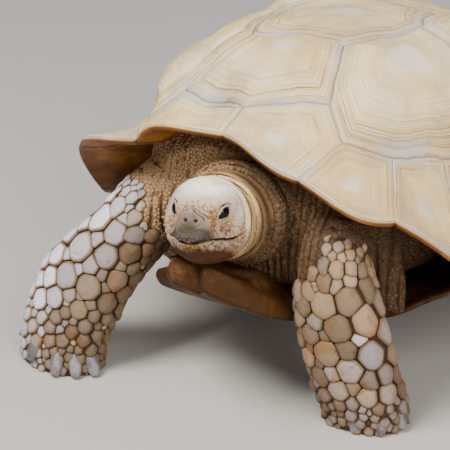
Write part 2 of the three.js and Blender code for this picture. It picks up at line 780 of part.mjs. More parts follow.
function plastronSolid(grow) {
  const put = {};
  for (const [name, [x, y]] of Object.entries(PLASTRON)) {
    const reach = 1 + (1.6 * grow) / Math.hypot(x, y);
    put[name + "L"] = new Vector2(x * reach, y * reach);
    const [rightX, rightY] = PLASTRON_RIGHT[name] ?? [x, y];
    put[name + "R"] = new Vector2(-rightX * reach, rightY * reach);
  }
  put.notchR = put.notchL;
  put.analNotchR = put.analNotchL;
  const lowered = (disc) => new Vector3(disc.x, disc.y, plastronHeight(disc.x, disc.y) - grow);
  const corners = {};
  const names = Object.keys(PLASTRON);
  const single = (name) => name === "notch" || name === "analNotch";
  names.forEach((name) => {
    corners[single(name) ? name : name + "L"] = put[name + "L"];
    if (!single(name)) corners[name + "R"] = put[name + "R"];
  });
  for (const [name, y] of Object.entries(MIDLINE)) corners[name] = new Vector2(0, y);
  const shell = new Scutes(lowered, corners, (a, b, f, disc) => lowered(disc), PLASTRON_STEP);
  for (const side of ["L", "R"]) {
    const plates = [
      ["notch", "gular", "gularSide", "gularHumeral"],
      ["gularHumeral", "gularSide", "humeral", "axilla", "humeralPectoral"],
      ["humeralPectoral", "axilla", "bridgeFront", "bridgeA", "pectoralAbdominal"],
      ["pectoralAbdominal", "bridgeA", "bridgeB", "bridgeC", "abdominalFemoral"],
      ["abdominalFemoral", "bridgeC", "bridgeRear", "inguinal", "femoral", "femoralAnal"],
      ["femoralAnal", "femoral", "anal", "analNotch"],
    ];
    for (const list of plates) {
      const full = list.map((n) => (corners[n] ? n : n + side));
      if (side === "L") full.reverse();
      const areola = full.reduce((s, n) => s.add(corners[n]), new Vector2()).divideScalar(full.length);
      shell.raise({ corners: full, areola, bulge: -3, step: -1.5 });
    }
  }
  // The upper face follows the same outline.
  const { made } = shell;
  const leftSide = names.map((n) => (single(n) ? n : n + "L"));
  const rightSide = names.slice(1, -1).reverse().map((n) => n + "R");
  const around = [...leftSide, ...rightSide];
  const rim = around.flatMap((name, i) => shell.seam(name, around[(i + 1) % around.length]));
  const thickness = (p) => {
    const prow = 14 * clamp01((-p.y - 300) / 60);
    const bridge = Math.abs(p.x) > 150 ? 0.35 : 1;
    return (PLASTRON_THICK + prow) * bridge;
  };
  const upper = (share) =>
    made.loop(
      rim.map(([disc, index]) => {
        const p = made.points[index].clone();
        const inner = disc.clone().multiplyScalar(share);
        const rise = thickness(p) + 2 * grow;
        return new Vector3(inner.x, inner.y, plastronHeight(inner.x, inner.y) - grow + rise);
      }),
    );
  const edge = upper(0.985);
  const within = upper(0.6);
  made.band(rim.map(([, index]) => index), edge);
  made.band(edge, within);
  made.fan(within, made.add(new Vector3(0, -20, PLASTRON_Z + PLASTRON_THICK + grow)));
  return made.solid();
}

// ---------------------------------------------------------------------------------------------------
// Head and neck
// ---------------------------------------------------------------------------------------------------

const headTurn = new Quaternion().setFromEuler(
  new THREE.Euler(rad(-HEAD.pitch), 0, rad(HEAD.yaw), "ZXY"),
);
const fromHead = (x, y, z) => new Vector3(x, y, z).applyQuaternion(headTurn).add(HEAD.centre);
const headDirection = (x, y, z) => new Vector3(x, y, z).applyQuaternion(headTurn);

// Along the head from the nape: y, half width, top, bottom, squareness.
const SKULL = [
  [49, 34, 29, -33, 2.1],
  [31, 40, 36, -41, 2.2],
  [12, 39, 39, -43, 2.3],
  [-6, 33, 36, -42, 2.3],
  [-20, 26, 30, -39, 2.3],
  [-33, 20.5, 22, -35, 2.4],
  [-45, 16.5, 13, -31, 2.5],
  [-53, 12, 6, -26, 2.5],
];

// Swellings and hollows of the head, the same on both sides: centre and half-sizes in its own frame, height.
const FEATURES = [
  { at: [5.5, -56, 3], size: [6.5, 9, 5.5], high: 3 }, // nostril's lobe
  { at: [0, -50, 8], size: [12, 8, 6], high: 1 }, // nose shield
  { at: [11, -50, -12], size: [9, 10, 7], high: 2.2 }, // upper beak
  { at: [19, -36, 5], size: [6, 7, 8], high: -2 }, // before the eye
  { at: [25, -26, -5], size: [8, 9, 5], high: -1.6 }, // under the eye
  { at: [20, -20, 22], size: [9, 12, 5], high: 1.6 }, // brow
  { at: [38, 16, -6], size: [16, 22, 20], high: 2 }, // jaw muscle
  { at: [0, -6, 40], size: [14, 20, 10], high: 1 }, // crown
];

function headSwell(point) {
  const local = point.clone().sub(HEAD.centre).applyQuaternion(headTurn.clone().invert());
  return FEATURES.reduce((sum, { at: [x, y, z], size: [a, b, c], high }) => {
    const q = ((Math.abs(local.x) - x) / a) ** 2 + ((local.y - y) / b) ** 2 + ((local.z - z) / c) ** 2;
    return sum + high * Math.exp(-q);
  }, 0);
}

function headLoft() {
  const stations = SKULL.map(([y, half, top, bottom, square]) => ({
    at: fromHead(0, y, (top + bottom) / 2).toArray(),
    side: half,
    front: (top - bottom) / 2,
    square,
  }));
  const loft = new Loft(stations, headDirection(1, 0, 0));
  loft.swell = headSwell;
  return loft;
}

// A closed bar of round section along a curve.
function bar(points, radii, sides = 6) {
  const stations = points.map((p, i) => ({ at: p.toArray(), side: radii[i], front: radii[i], square: 2 }));
  return new Loft(stations, new Vector3(0.3, 0.2, 1)).solid(points.length, sides, [0.6, 0.6]);
}

function ball(centre, radius, detail = 1) {
  const geometry = new THREE.IcosahedronGeometry(radius, detail).translate(...centre.toArray());
  return solidOf(geometry);
}

// The mouth's line from the beak to its corner: y, z. Everything below it is the lower jaw.
const MOUTH_LINE = [
  [-80, -21],
  [-50, -19],
  [-30, -17],
  [-12, -18],
  [4, -14],
];
const JAW_ENDS = [
  [14, -60],
  [-80, -60],
];

function mouthCutter(inset) {
  const line = MOUTH_LINE.map(([y, z]) => new Vector2(y > 0 ? y - inset : y, z - inset));
  const ends = JAW_ENDS.map(([y, z]) => new Vector2(y > 0 ? y - inset : y, z));
  const shape = new THREE.Shape([...line, ...ends]);
  const width = 120;
  const geometry = new THREE.ExtrudeGeometry(shape, { depth: width, bevelEnabled: false });
  // The shape's x runs along the head and its y up; extrusion runs across.
  const axes = new THREE.Matrix4();
  axes.makeBasis(new Vector3(0, 1, 0), new Vector3(0, 0, 1), new Vector3(1, 0, 0));
  geometry.applyMatrix4(new THREE.Matrix4().makeTranslation(-width / 2, 0, 0).multiply(axes));
  geometry.applyQuaternion(headTurn).translate(...HEAD.centre.toArray());
  return solidOf(geometry);
}

// A point near an eye: along its opening, across it, and out from the eyeball's centre.
function fromEye(side, along, across, out) {
  const look = rad(EYE.outwards);
  const slant = rad(EYE.slant);
  const back = along * Math.cos(slant) - across * Math.sin(slant);
  const up = along * Math.sin(slant) + across * Math.cos(slant);
  const x = EYE.x + out * Math.sin(look) + back * Math.cos(look);
  const y = EYE.y - out * Math.cos(look) + back * Math.sin(look);
  return fromHead(side * x, y, EYE.z + up);
}

// The almond between the lids, as a wedge from the eyeball's centre outwards.
function eyeOpening(side) {
  const corners = 12;
  const near = 4;
  const far = 20;
  const made = new Surface();
  const outline = Array.from({ length: corners }, (_, i) => {
    const turn = (i / corners) * 2 * Math.PI;
    const across = Math.sign(Math.sin(turn)) * Math.sin(turn) ** 2;
    return [Math.cos(turn) * EYE.opening[0], across * EYE.opening[1]];
  });
  const loop = (out) => made.loop(outline.map(([a, b]) => fromEye(side, a, b, out)));
  const inner = loop(near);
  const outer = loop(far);
  made.band(inner, outer);
  made.fan(outer, made.add(fromEye(side, 0, 0, far)));
  made.fan(inner.slice().reverse(), made.add(fromEye(side, 0, 0, near)));
  return made.solid();
}

// Half width of the skull at a place in the head's frame, without its swellings.
function skullHalf(y, z) {
  const column = (k) => SKULL.map((row) => row[k]).reverse();
  const at = (k) => cubicThrough(column(0), column(k), false)(y);
  const [half, top, bottom, square] = [1, 2, 3, 4].map(at);
  const up = Math.abs(z - (top + bottom) / 2) / ((top - bottom) / 2);
  return half * (1 - Math.min(1, up) ** square) ** (1 / square);
}

// A lip from one corner of the mouth round the beak to the other, z above or below the mouth's line.
function lip(offset, radius) {
  const line = cubicThrough(MOUTH_LINE.map(([y]) => y), MOUTH_LINE.map(([, z]) => z), false);
  const ys = [2, -12, -26, -38, -47, -53];
  const half = ys.map((y) => [skullHalf(y, line(y) + offset) - radius * 0.3, y]);
  const front = [[0, -56.5 + radius * 0.3]];
  const outline = [...half, ...front, ...half.slice().reverse().map(([x, y]) => [-x, y])];
  const points = outline.map(([x, y]) => fromHead(x, y, line(y) + offset));
  return bar(points, points.map((_, i) => radius * (i === 0 || i === points.length - 1 ? 0.5 : 1)), 6);
}

function headSolids() {
  const loft = headLoft();
  const whole = loft.solid(15, 20, [0.2, 0.3]);
  const both = (make) => [LEFT, RIGHT].map(make);
  const eyeball = (side, radius) => ball(fromHead(side * EYE.x, EYE.y, EYE.z), radius, 1);
  const orbits = both((side) => eyeball(side, EYE.radius + EYE.lid));
  const holes = both((side) => fuse([eyeball(side, EYE.radius + GAP), eyeOpening(side)]));
  const nostrils = both((side) => {
    const line = [fromHead(side * 4.2, -54, -0.5), fromHead(side * 5.6, -68, 1.5)];
    return bar(line, [1.7, 1.7], 6);
  });
  const ears = both((side) => ball(fromHead(side * 33, 24, -12), 9));
  const upper = fuse([whole, ...orbits, ...ears, lip(3, 2.6)]).subtract(fuse([...holes, ...nostrils]));
  return {
    upper: upper.subtract(mouthCutter(0)),
    jaw: fuse([whole, lip(-3.4, 2.4)]).intersect(mouthCutter(1.1)),
    eye: (side) => eyeball(side, EYE.radius),
  };
}

// The drawn-in neck, in folds: at, half-size.
const nape = fromHead(0, 36, -3);
const NECK_FOLDS = [
  [0, 40],
  [6, 45],
  [12, 42],
  [20, 50],
  [29, 46],
  [42, 58],
  [54, 54],
  [74, 68],
  [92, 66],
  [108, 76],
];
const NECK_ROOT = new Vector3(0, -240, 196);

function neckLoft() {
  const length = nape.distanceTo(NECK_ROOT);
  const stations = NECK_FOLDS.map(([d, half]) => ({
    at: nape.clone().lerp(NECK_ROOT, d / length).toArray(),
    side: half,
    front: half * 0.9,
    square: 2.1,
  }));
  return new Loft(stations, new Vector3(1, 0, 0));
}

// ---------------------------------------------------------------------------------------------------
// Legs
// ---------------------------------------------------------------------------------------------------

// stations: centre, half width, half depth, from inside the body to the sole.
// elbow and wrist: a point of the cut and its direction. toes: where the claws stand.
const FORELEG_LEFT = {
  turn: 10,
  outwards: -1,
  stations: [
    [[92, -232, 194], 40, 40],
    [[98, -266, 192], 36, 38],
    [[106, -291, 172], 34, 32],
    [[113, -297, 140], 40, 29],
    [[121, -291, 94], 44, 27],
    [[127, -282, 54], 43, 28],
    [[132, -271, 22], 41, 32],
    [[132, -266, -6], 42, 33],
  ],
  elbow: [[104, -286, 182], [0.12, -0.55, -0.8]],
  wrist: [[122, -278, 46], [0.15, 0.05, -1]],
  toes: {
    centre: [132, -266],
    reach: [40, 31],
    headings: [-62, -26, 10, 46, 84],
    raised: [4, 0, 0, 0, 2],
    size: 21,
  },
};
const FORELEG_RIGHT = {
  turn: -4,
  outwards: 1,
  stations: [
    [[-88, -232, 200], 42, 40],
    [[-108, -268, 188], 40, 38],
    [[-134, -298, 150], 38, 33],
    [[-155, -315, 120], 43, 31],
    [[-174, -325, 92], 50, 28],
    [[-190, -332, 57], 49, 28],
    [[-198, -337, 26], 48, 31],
    [[-199, -339, -6], 48, 33],
  ],
  elbow: [[-120, -282, 176], [-0.5, -0.6, -0.62]],
  wrist: [[-186, -332, 52], [-0.3, -0.15, -0.95]],
  toes: {
    centre: [-193, -337],
    reach: [47, 35],
    headings: [-84, -22, 16, 42, 68],
    raised: [3, 8, 0, 0, 0],
    size: 23,
  },
};
const HIND_LEG_LEFT = {
  turn: 20,
  stations: [
    [[108, 180, 136], 36, 34],
    [[135, 206, 106], 41, 38],
    [[149, 210, 74], 40, 38],
    [[153, 200, 38], 40, 40],
    [[153, 196, 12], 43, 44],
    [[153, 196, -6], 44, 45],
  ],
  knee: [[139, 210, 98], [0.3, 0, -1]],
  ankle: [[153, 200, 36], [0, 0, -1]],
  toes: {
    centre: [153, 196],
    reach: [41, 42],
    headings: [-45, -10, 25, 60],
    raised: [0, 0, 0, 0],
    size: 20,
  },
};
const HIND_LEG_RIGHT = {
  turn: -25,
  stations: [
    [[-108, 182, 136], 36, 34],
    [[-137, 210, 106], 41, 38],
    [[-154, 230, 74], 40, 38],
    [[-159, 240, 38], 40, 40],
    [[-159, 240, 12], 43, 44],
    [[-159, 240, -6], 44, 45],
  ],
  knee: [[-142, 216, 98], [-0.3, 0.3, -1]],
  ankle: [[-159, 240, 36], [0, 0, -1]],
  toes: {
    centre: [-159, 240],
    reach: [41, 42],
    headings: [-65, -30, 5, 40],
    raised: [0, 0, 0, 0],
    size: 20,
  },
};

// Along the tail: centre, radius.
const TAIL = [
  [[0, 206, 134], 28],
  [[0, 238, 112], 24],
  [[3, 264, 88], 17],
  [[8, 282, 62], 10],
  [[12, 290, 44], 5],
];

// Hollows in the shell round the roots of the hind legs and the tail: centre, half-sizes.
const POCKETS = [
  [[142, 200, 98], [54, 48, 52]],
  [[-142, 200, 98], [54, 48, 52]],
  [[0, 240, 98], [42, 40, 44]],
];

function legLoft({ turn, stations }, grow = 0) {
  const sections = stations.map(([at, side, front]) => ({ at, side, front, square: 2.25 }));
  return new Loft(sections, new Vector3(Math.cos(rad(turn)), Math.sin(rad(turn)), 0), grow);
}

// Conical spurs on the back of a thigh.
function spurs(loft, grow = 0) {
  return [-28, 0, 28].map((turn) => {
    const angle = rad(270 + turn);
    const d = 66 - Math.abs(turn) * 0.3;
    const points = [loft.point(d - 4, angle, -8), loft.point(d, angle, 2), loft.point(d + 9, angle, 13)];
    return bar(points, [9 + grow, 7.5 + grow, 3 + grow], 6);
  });
}

// The space that a leg takes up in its neighbours.
const legRoom = (leg) => legLoft(leg, ROOM).solid(15, 18, [0.2, 0.05]);

// A hind leg with its spurs, or the room it takes.
function hindLeg(leg, grow = 0) {
  const loft = legLoft(leg, grow);
  return fuse([loft.solid(9, 14, [0.2, 0.05]), ...spurs(loft, grow)]);
}

// Scale size over the forearm: large down its front and outer side, small at the elbow, inside and foot.
function forearmScale(width, height, outwards) {
  return (x, y) => {
    const out = (x / width - 0.5) * 2 * outwards;
    const down = y / height;
    const along = smooth(down * 3.2) * (1 - 0.45 * smooth(down * 3 - 2));
    return mix(6, 15, along) * mix(0.62, 1, smooth(out + 0.85));
  };
}

// Pointed scales that stand out along the outer edge of the forearm, their tips towards the foot.
function edgeScales(loft, edge, count, length) {
  return Array.from({ length: count }, (_, i) => {
    const d = mix(74, 166, i / (count - 1));
    const root = loft.point(d - length * 0.5, edge, -7);
    const middle = loft.point(d, edge, -1);
    const tip = loft.point(d + length * 0.5, edge, 5.5);
    return bar([root, middle, tip], [length * 0.3, length * 0.34, length * 0.16], 6);
  });
}

function tailLoft(grow = 0) {
  const stations = TAIL.map(([at, radius]) => ({ at, side: radius, front: radius, square: 2.1 }));
  return new Loft(stations, new Vector3(1, 0, 0), grow);
}

// Blunt claws round the front of a foot, root high and tip low, each with the room it needs in it.
function claws({ centre, reach, headings, raised, size }) {
  return headings.map((turn, i) => {
    const out = new Vector3(Math.sin(rad(turn)), -Math.cos(rad(turn)), 0);
    const root = new Vector3(centre[0] + out.x * reach[0], centre[1] + out.y * reach[1], raised[i]);
    const at = (along, high) => root.clone().addScaledVector(out, along * size).setZ(raised[i] + high * size);
    const make = (grow) => {
      const points = [at(-0.32, 1), at(0, 0.6), at(0.22, 0.2)];
      return aboveFloor(bar(points, [0.3, 0.32, 0.21].map((share) => share * size + grow), 6));
    };
    return { claw: make(0), room: make(ROOM * 0.7) };
  });
}

function foreleg(leg, seed) {
  const loft = legLoft(leg);
  const core = loft.solid(13, 14, [0.2, 0.05]);
  const span = rad(230);
  const patch = { from: 66, height: 128, angle: rad(90) - span / 2, around: 36, span, tries: 2600 };
  const size = forearmScale(patch.span * patch.around, patch.height, leg.outwards);
  const plates = scales(loft, patch, randomFrom(seed), size, 3.2, 9.2);
  const edge = edgeScales(loft, leg.outwards > 0 ? rad(180) : 0, 6, 24);
  return aboveFloor(fuse([core, ...plates, ...edge]));
}

// ---------------------------------------------------------------------------------------------------
// Assembly
// ---------------------------------------------------------------------------------------------------

const COLOURS = {
  shell: [0.74, 0.67, 0.53],
  plastron: [0.62, 0.5, 0.33],
  skin: [0.42, 0.32, 0.22],
  scale: [0.56, 0.49, 0.41],
  head: [0.68, 0.64, 0.58],
  claw: [0.52, 0.5, 0.5],
  eye: [0.03, 0.025, 0.02],
};

const tortoise = new THREE.Group();

function node(name, solid, colour, roughness = 0.8) {
  const material = new THREE.MeshStandardMaterial({
    color: new THREE.Color(...COLOURS[colour]),
    roughness,
    metalness: 0,
  });
  const mesh = new THREE.Mesh(geometryOf(solid), material);
  mesh.name = name;
  tortoise.add(mesh);
}

const torso = torsoSolid(0);
const torsoRoom = torsoSolid(ROOM);
const plastron = plastronSolid(0);
const plastronRoom = plastronSolid(ROOM);
const carapace = carapaceSolid();

node("torso", torso, "skin");
node("plastron", plastron.subtract(torsoRoom), "plastron", 0.6);
const pockets = POCKETS.map(([centre, sizes]) => {
  const unit = new THREE.IcosahedronGeometry(1, 3);
  return solidOf(unit.scale(...sizes).translate(...centre));
});
const hindRooms = [
  hindLeg(HIND_LEG_LEFT, ROOM),
  hindLeg(HIND_LEG_RIGHT, ROOM),
  tailLoft(ROOM).solid(8, 12, [0.2, 0.8]),
];
const carapaceRoom = fuse([torsoRoom, plastronRoom, ...pockets, ...hindRooms]);
node("carapace", carapace.subtract(carapaceRoom), "shell", 0.6);

const head = headSolids();
const neckRoom = fuse([torsoRoom, plastronRoom, legRoom(FORELEG_LEFT), legRoom(FORELEG_RIGHT)]);
const neckSolid = neckLoft().solid(15, 16, [0.1, 0.1]).subtract(neckRoom);
const napePlane = [fromHead(0, 37, 0), headDirection(0, 1, 0)];
node("head", sideOf(head.upper, napePlane[0], napePlane[1].clone().negate()), "head");
node("jaw", head.jaw, "head");
node("neck", sideOf(neckSolid, ...napePlane), "skin");
node("eye_left", head.eye(LEFT), "eye", 0.2);
node("eye_right", head.eye(RIGHT), "eye", 0.2);

// A leg in three pieces and its claws; whole stands clear of the body already.
function leg(names, whole, [upper, upperWay], [lower, lowerWay], toes) {
  const cut = (solid, [x, y, z], way, keep) =>
    sideOf(solid, new Vector3(x, y, z), new Vector3(...way).multiplyScalar(keep));
  const below = cut(whole, upper, upperWay, 1);
  node(names[0], cut(whole, upper, upperWay, -1), "skin");
  node(names[1], cut(below, lower, lowerWay, -1), "scale");
  const nails = claws(toes);
  node(names[2], nails.reduce((foot, { room }) => foot.subtract(room), cut(below, lower, lowerWay, 1)), "scale");
  nails.forEach(({ claw }, i) => node(`${names[2]}_claw_${i + 1}`, claw, "claw", 0.5));
}

for (const [side, plan, seed] of [
  ["left", FORELEG_LEFT, 11],
  ["right", FORELEG_RIGHT, 23],
]) {
  const whole = foreleg(plan, seed).subtract(torsoRoom);
  leg([`upper_arm_${side}`, `forearm_${side}`, `forefoot_${side}`], whole, plan.elbow, plan.wrist, plan.toes);
}

for (const [side, plan] of [
  ["left", HIND_LEG_LEFT],
  ["right", HIND_LEG_RIGHT],
]) {
  const whole = aboveFloor(hindLeg(plan)).subtract(torsoRoom);
  leg([`thigh_${side}`, `shank_${side}`, `hindfoot_${side}`], whole, plan.knee, plan.ankle, plan.toes);
}

const tail = tailLoft().solid(8, 12, [0.2, 0.8]);
node("tail", tail.subtract(torsoRoom).subtract(plastronRoom), "skin");

// The origin is on the floor below the middle of the whole animal.
const middle = new THREE.Box3().setFromObject(tortoise, true).getCenter(new Vector3());
tortoise.position.set(-middle.x, -middle.y, 0);

export default tortoise;
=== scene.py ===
"""Adult sulcata tortoise: the looks around its CAD frame.

Millimetres are used throughout, in the frame in which the animal was modelled: floor at z = 0, head
towards -Y, left side towards +X. to_frame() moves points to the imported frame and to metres.
"""

import math

import bmesh
import bpy
import numpy as np
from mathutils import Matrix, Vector
from mathutils.bvhtree import BVHTree
from mathutils.kdtree import KDTree
from mathutils.noise import voronoi


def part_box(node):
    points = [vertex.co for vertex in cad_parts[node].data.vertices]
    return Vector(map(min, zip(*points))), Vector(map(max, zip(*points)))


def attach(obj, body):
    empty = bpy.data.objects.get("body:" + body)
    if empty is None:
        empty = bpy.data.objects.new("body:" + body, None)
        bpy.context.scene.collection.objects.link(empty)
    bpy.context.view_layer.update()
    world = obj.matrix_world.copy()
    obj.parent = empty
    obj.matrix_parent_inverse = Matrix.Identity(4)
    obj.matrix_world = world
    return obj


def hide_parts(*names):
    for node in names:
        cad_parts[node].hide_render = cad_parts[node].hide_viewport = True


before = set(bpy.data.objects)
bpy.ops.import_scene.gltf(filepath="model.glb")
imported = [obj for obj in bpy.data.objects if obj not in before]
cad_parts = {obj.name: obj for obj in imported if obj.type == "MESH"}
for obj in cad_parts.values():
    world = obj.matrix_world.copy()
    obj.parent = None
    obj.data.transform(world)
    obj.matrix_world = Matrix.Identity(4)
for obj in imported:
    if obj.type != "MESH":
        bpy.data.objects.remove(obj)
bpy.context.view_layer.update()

# --------------------------------------------------------------------------------------------------
# Driving dimensions, as in the CAD source
# --------------------------------------------------------------------------------------------------

SHELL_TOP = 349
DOME_CENTRE = -60
RIM = [
    [0, -326, 293], [94, -339, 272], [184, -314, 243], [222, -240, 178], [238, -168, 140],
    [247, -84, 127], [250, -10, 122], [250, 64, 119], [244, 136, 119], [224, 204, 122],
    [174, 262, 122], [85, 302, 112], [0, 312, 98],
]
INNER = [
    [0, -292, 309], [112, -292, 296], [139, -244, 272], [162, -184, 257], [190, -122, 228],
    [206, -55, 206], [212, 12, 194], [210, 76, 186], [199, 134, 180], [175, 186, 178],
    [128, 228, 180], [63, 256, 182], [0, 266, 182],
]
SHOULDER = [
    [0, -214, 348], [76, -207, 349], [112, -163, 333], [131, -97, 323], [138, -24, 311],
    [134, 52, 295], [109, 118, 277], [56, 158, 266], [0, 172, 267],
]
T_SHOULDER = 0.5
T_INNER = 0.8
# Growth of each kind of scute: height of its areola, rise from the seam, its rings and their height.
VERTEBRAL = {"bulge": 7, "rise": 3, "rings": 17, "ring_height": 0.8}
COSTAL = {"bulge": 11, "rise": 3, "rings": 17, "ring_height": 0.8}
MARGINAL = {"bulge": -3, "rise": 1.5, "rings": 9, "ring_height": 0.6}
PLASTRAL = {"bulge": -3, "rise": -1.5, "rings": 10, "ring_height": -0.5, "samples": 3}
FLANK = 5
FLANK_RIGHT = 12
RIGHT_DROP = [9, 19]
RIM_LIP = 7
SERRATION = 5
# How high the free edge of each marginal stands above the line between its seams, front to rear.
LIFT_LEFT = [-1, -9, 3, 3, 3, 3, 3, 4, 6, 9, 10, 10]
LIFT_RIGHT = [14, 2, 4, 3, 3, 3, 3, 4, 6, 9, 10, 10]
RIM_SAG = {"drop": 15, "turn": 0.95, "spread": 0.17}
UNDER = {"front": (62, 4), "bridge": (37, 20), "rear": (50, 48)}  # depth inwards, climb on the way

# The plastron: height of its lowest part, thickness, and how it sinks towards the rear, from y on.
PLASTRON_Z = 97
PLASTRON_THICK = 14
SINK = 0.09
SINK_FROM = -110

HEAD_CENTRE = np.array([16, -380, 227.5])
HEAD_YAW = 22
HEAD_PITCH = 20
# The eyes: place in the head, reach of the lid over the ball, how far the ball stands out past the
# solid one, and the way the opening faces, its half-sizes and its slant in degrees.
EYE = {
    "x": 15, "y": -15.5, "z": 9, "radius": 10.5, "lid": 2, "forward": 2.2,
    "outwards": 52, "opening": (9.2, 4.5), "slant": 36,
}

# --------------------------------------------------------------------------------------------------
# Small tools
# --------------------------------------------------------------------------------------------------


def clamp01(x):
    return np.clip(x, 0, 1)


def smooth(x):
    x = clamp01(x)
    return x * x * (3 - 2 * x)


def mix(a, b, f):
    return a + (b - a) * f


def unit(v):
    return v / np.maximum(np.linalg.norm(v, axis=-1, keepdims=True), 1e-12)


def cubic(xs, ys, x, flat_ends=False):
    """Cubic through (xs, ys) at x. Each of ys is a number, or an array like x."""
    x = np.asarray(x, float)
    xs = np.asarray(xs, float)
    ys = np.stack([np.broadcast_to(np.asarray(y, float), x.shape) for y in ys])
    step = np.diff(xs).reshape((-1,) + (1,) * x.ndim)
    rise = np.diff(ys, axis=0) / step
    slope = np.zeros_like(ys)
    slope[1:-1] = (rise[:-1] * step[1:] + rise[1:] * step[:-1]) / (step[:-1] + step[1:])
    if not flat_ends:
        slope[0], slope[-1] = rise[0], rise[-1]
    i = np.searchsorted(xs[1:-1], x)
    h = np.diff(xs)[i]
    f = clamp01((x - xs[i]) / h)
    g = f * f * (3 - 2 * f)

    def pick(a, k):
        return np.take_along_axis(a, (i + k)[None], 0)[0]

    return (
        pick(ys, 0) * (1 - g)
        + pick(ys, 1) * g
        + h * f * (1 - f) * (pick(slope, 0) * (1 - f) - pick(slope, 1) * f)
    )


def noise(points, size, seed=0):
    """Smooth noise from -1 to 1 at points (n, 3), with lumps about size apart."""
    q = np.asarray(points, float) / size + 31.7 * seed
    cell = np.floor(q).astype(np.int64)
    f = q - cell
    f = f * f * (3 - 2 * f)
    total = np.zeros(len(q))
    for corner in range(8):
        d = np.array([corner & 1, corner >> 1 & 1, corner >> 2 & 1])
        h = (cell + d) * np.array([73856093, 19349663, 83492791])
        h = h[:, 0] ^ h[:, 1] ^ h[:, 2] ^ (seed * 2654435761)
        h = (h ^ (h >> 13)) * 1274126177
        h = (h ^ (h >> 16)) & 0xFFFFFF
        total += h / 0xFFFFFF * np.prod(np.where(d, f, 1 - f), axis=1)
    return total * 2 - 1


def bell(x):
    """1 at 0, falling smoothly to nothing by 2 on both sides."""
    return np.exp(-(x**2))


def blob(points, centre, sizes):
    """1 in the middle of an ellipsoid, falling smoothly to nothing outside it."""
    return np.exp(-np.sum(((points - centre) / sizes) ** 2, 1))


def fractal(points, size, seed=0, octaves=4):
    return sum(noise(points, size / 2**k, seed + k) / 2**k for k in range(octaves)) / 1.6


def turned(yaw, pitch):
    """The rotation by pitch about X and then by yaw about Z, in degrees."""
    yaw, pitch = math.radians(yaw), math.radians(pitch)
    about_z = [[math.cos(yaw), -math.sin(yaw), 0], [math.sin(yaw), math.cos(yaw), 0], [0, 0, 1]]
    about_x = [[1, 0, 0], [0, math.cos(pitch), -math.sin(pitch)], [0, math.sin(pitch), math.cos(pitch)]]
    return np.array(about_z) @ np.array(about_x)


head_turn = turned(HEAD_YAW, -HEAD_PITCH)


def from_head(x, y, z):
    return np.stack(np.broadcast_arrays(x, y, z), -1) @ head_turn.T + HEAD_CENTRE


def to_head(points):
    return (points - HEAD_CENTRE) @ head_turn


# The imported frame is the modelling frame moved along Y: the left eye shows by how much.
eye_low, eye_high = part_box("eye_left")
SHIFT = np.array((eye_low + eye_high) / 2) * 1000 - from_head(EYE["x"], EYE["y"], EYE["z"])
SHIFT[[0, 2]] = 0


def to_frame(points):
    return (np.asarray(points, float) + SHIFT) / 1000


class Mesh:
    """A mesh in the making: points, faces and named values at the points."""

    def __init__(self):
        self.points, self.faces, self.values, self.count = [], [], {}, 0

    def add(self, points, **values):
        """Adds points (..., 3) and gives their numbers, in the same shape."""
        shape = points.shape[:-1]
        n = int(np.prod(shape))
        for name in set(self.values) | set(values):
            rows = self.values.setdefault(name, [np.zeros(self.count)] if self.count else [])
            rows.append(np.broadcast_to(values.get(name, 0.0), shape).reshape(-1).astype(float))
        self.points.append(points.reshape(-1, 3))
        self.count += n
        return np.arange(self.count - n, self.count).reshape(shape)

    def face(self, *corners):
        self.faces.append(np.stack([np.ravel(c) for c in corners], -1))

    def band(self, lower, upper):
        """Quads between two closed loops of the same length."""
        self.face(lower, np.roll(lower, -1), np.roll(upper, -1), upper)

    def rings(self, loops):
        for lower, upper in zip(loops, loops[1:]):
            self.band(lower, upper)

    def fan(self, loop, centre):
        self.face(loop, np.roll(loop, -1), np.full(len(loop), centre))

    def all_points(self):
        return np.concatenate(self.points)


def set_value(data, name, values):
    """Gives the points of a mesh a named value, which its material reads."""
    data.attributes.new(name, "FLOAT", "POINT").data.foreach_set("value", np.asarray(values, np.float32))


def get_value(data, name):
    """The values that an attribute gives the points of a mesh."""
    out = np.empty(len(data.vertices), np.float32)
    data.attributes[name].data.foreach_get("value", out)
    return out


def tree_of_faces(data):
    """A search tree over the faces of a Blender mesh, in metres."""
    return BVHTree.FromPolygons([v.co for v in data.vertices], [p.vertices for p in data.polygons])


def tree_of_points(points):
    """A search tree over points."""
    tree = KDTree(len(points))
    for i, q in enumerate(points):
        tree.insert(q, i)
    tree.balance()
    return tree


def make_object(name, mesh, material=None):
    """A Blender object from a Mesh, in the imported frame."""
    data = bpy.data.meshes.new(name)
    points = to_frame(mesh.all_points())
    sizes = np.concatenate([np.full(len(f), f.shape[1]) for f in mesh.faces])
    corners = np.concatenate([f.ravel() for f in mesh.faces])
    data.vertices.add(len(points))
    data.vertices.foreach_set("co", points.astype(np.float32).ravel())
    data.loops.add(len(corners))
    data.loops.foreach_set("vertex_index", corners.astype(np.int32))
    data.polygons.add(len(sizes))
    data.polygons.foreach_set("loop_start", np.concatenate([[0], np.cumsum(sizes)[:-1]]).astype(np.int32))
    data.update(calc_edges=True)
    data.validate()
    for key, rows in mesh.values.items():
        set_value(data, key, np.concatenate(rows))
    data.polygons.foreach_set("use_smooth", np.ones(len(data.polygons), bool))
    obj = bpy.data.objects.new(name, data)
    bpy.context.scene.collection.objects.link(obj)
    if material:
        data.materials.append(material)
    return obj


def piece(obj, nodes=()):
    """Puts a finished object on the body, in place of CAD nodes."""
    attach(obj, "root")
    if nodes:
        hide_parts(*nodes)
    return obj


# --------------------------------------------------------------------------------------------------
# Materials
# --------------------------------------------------------------------------------------------------


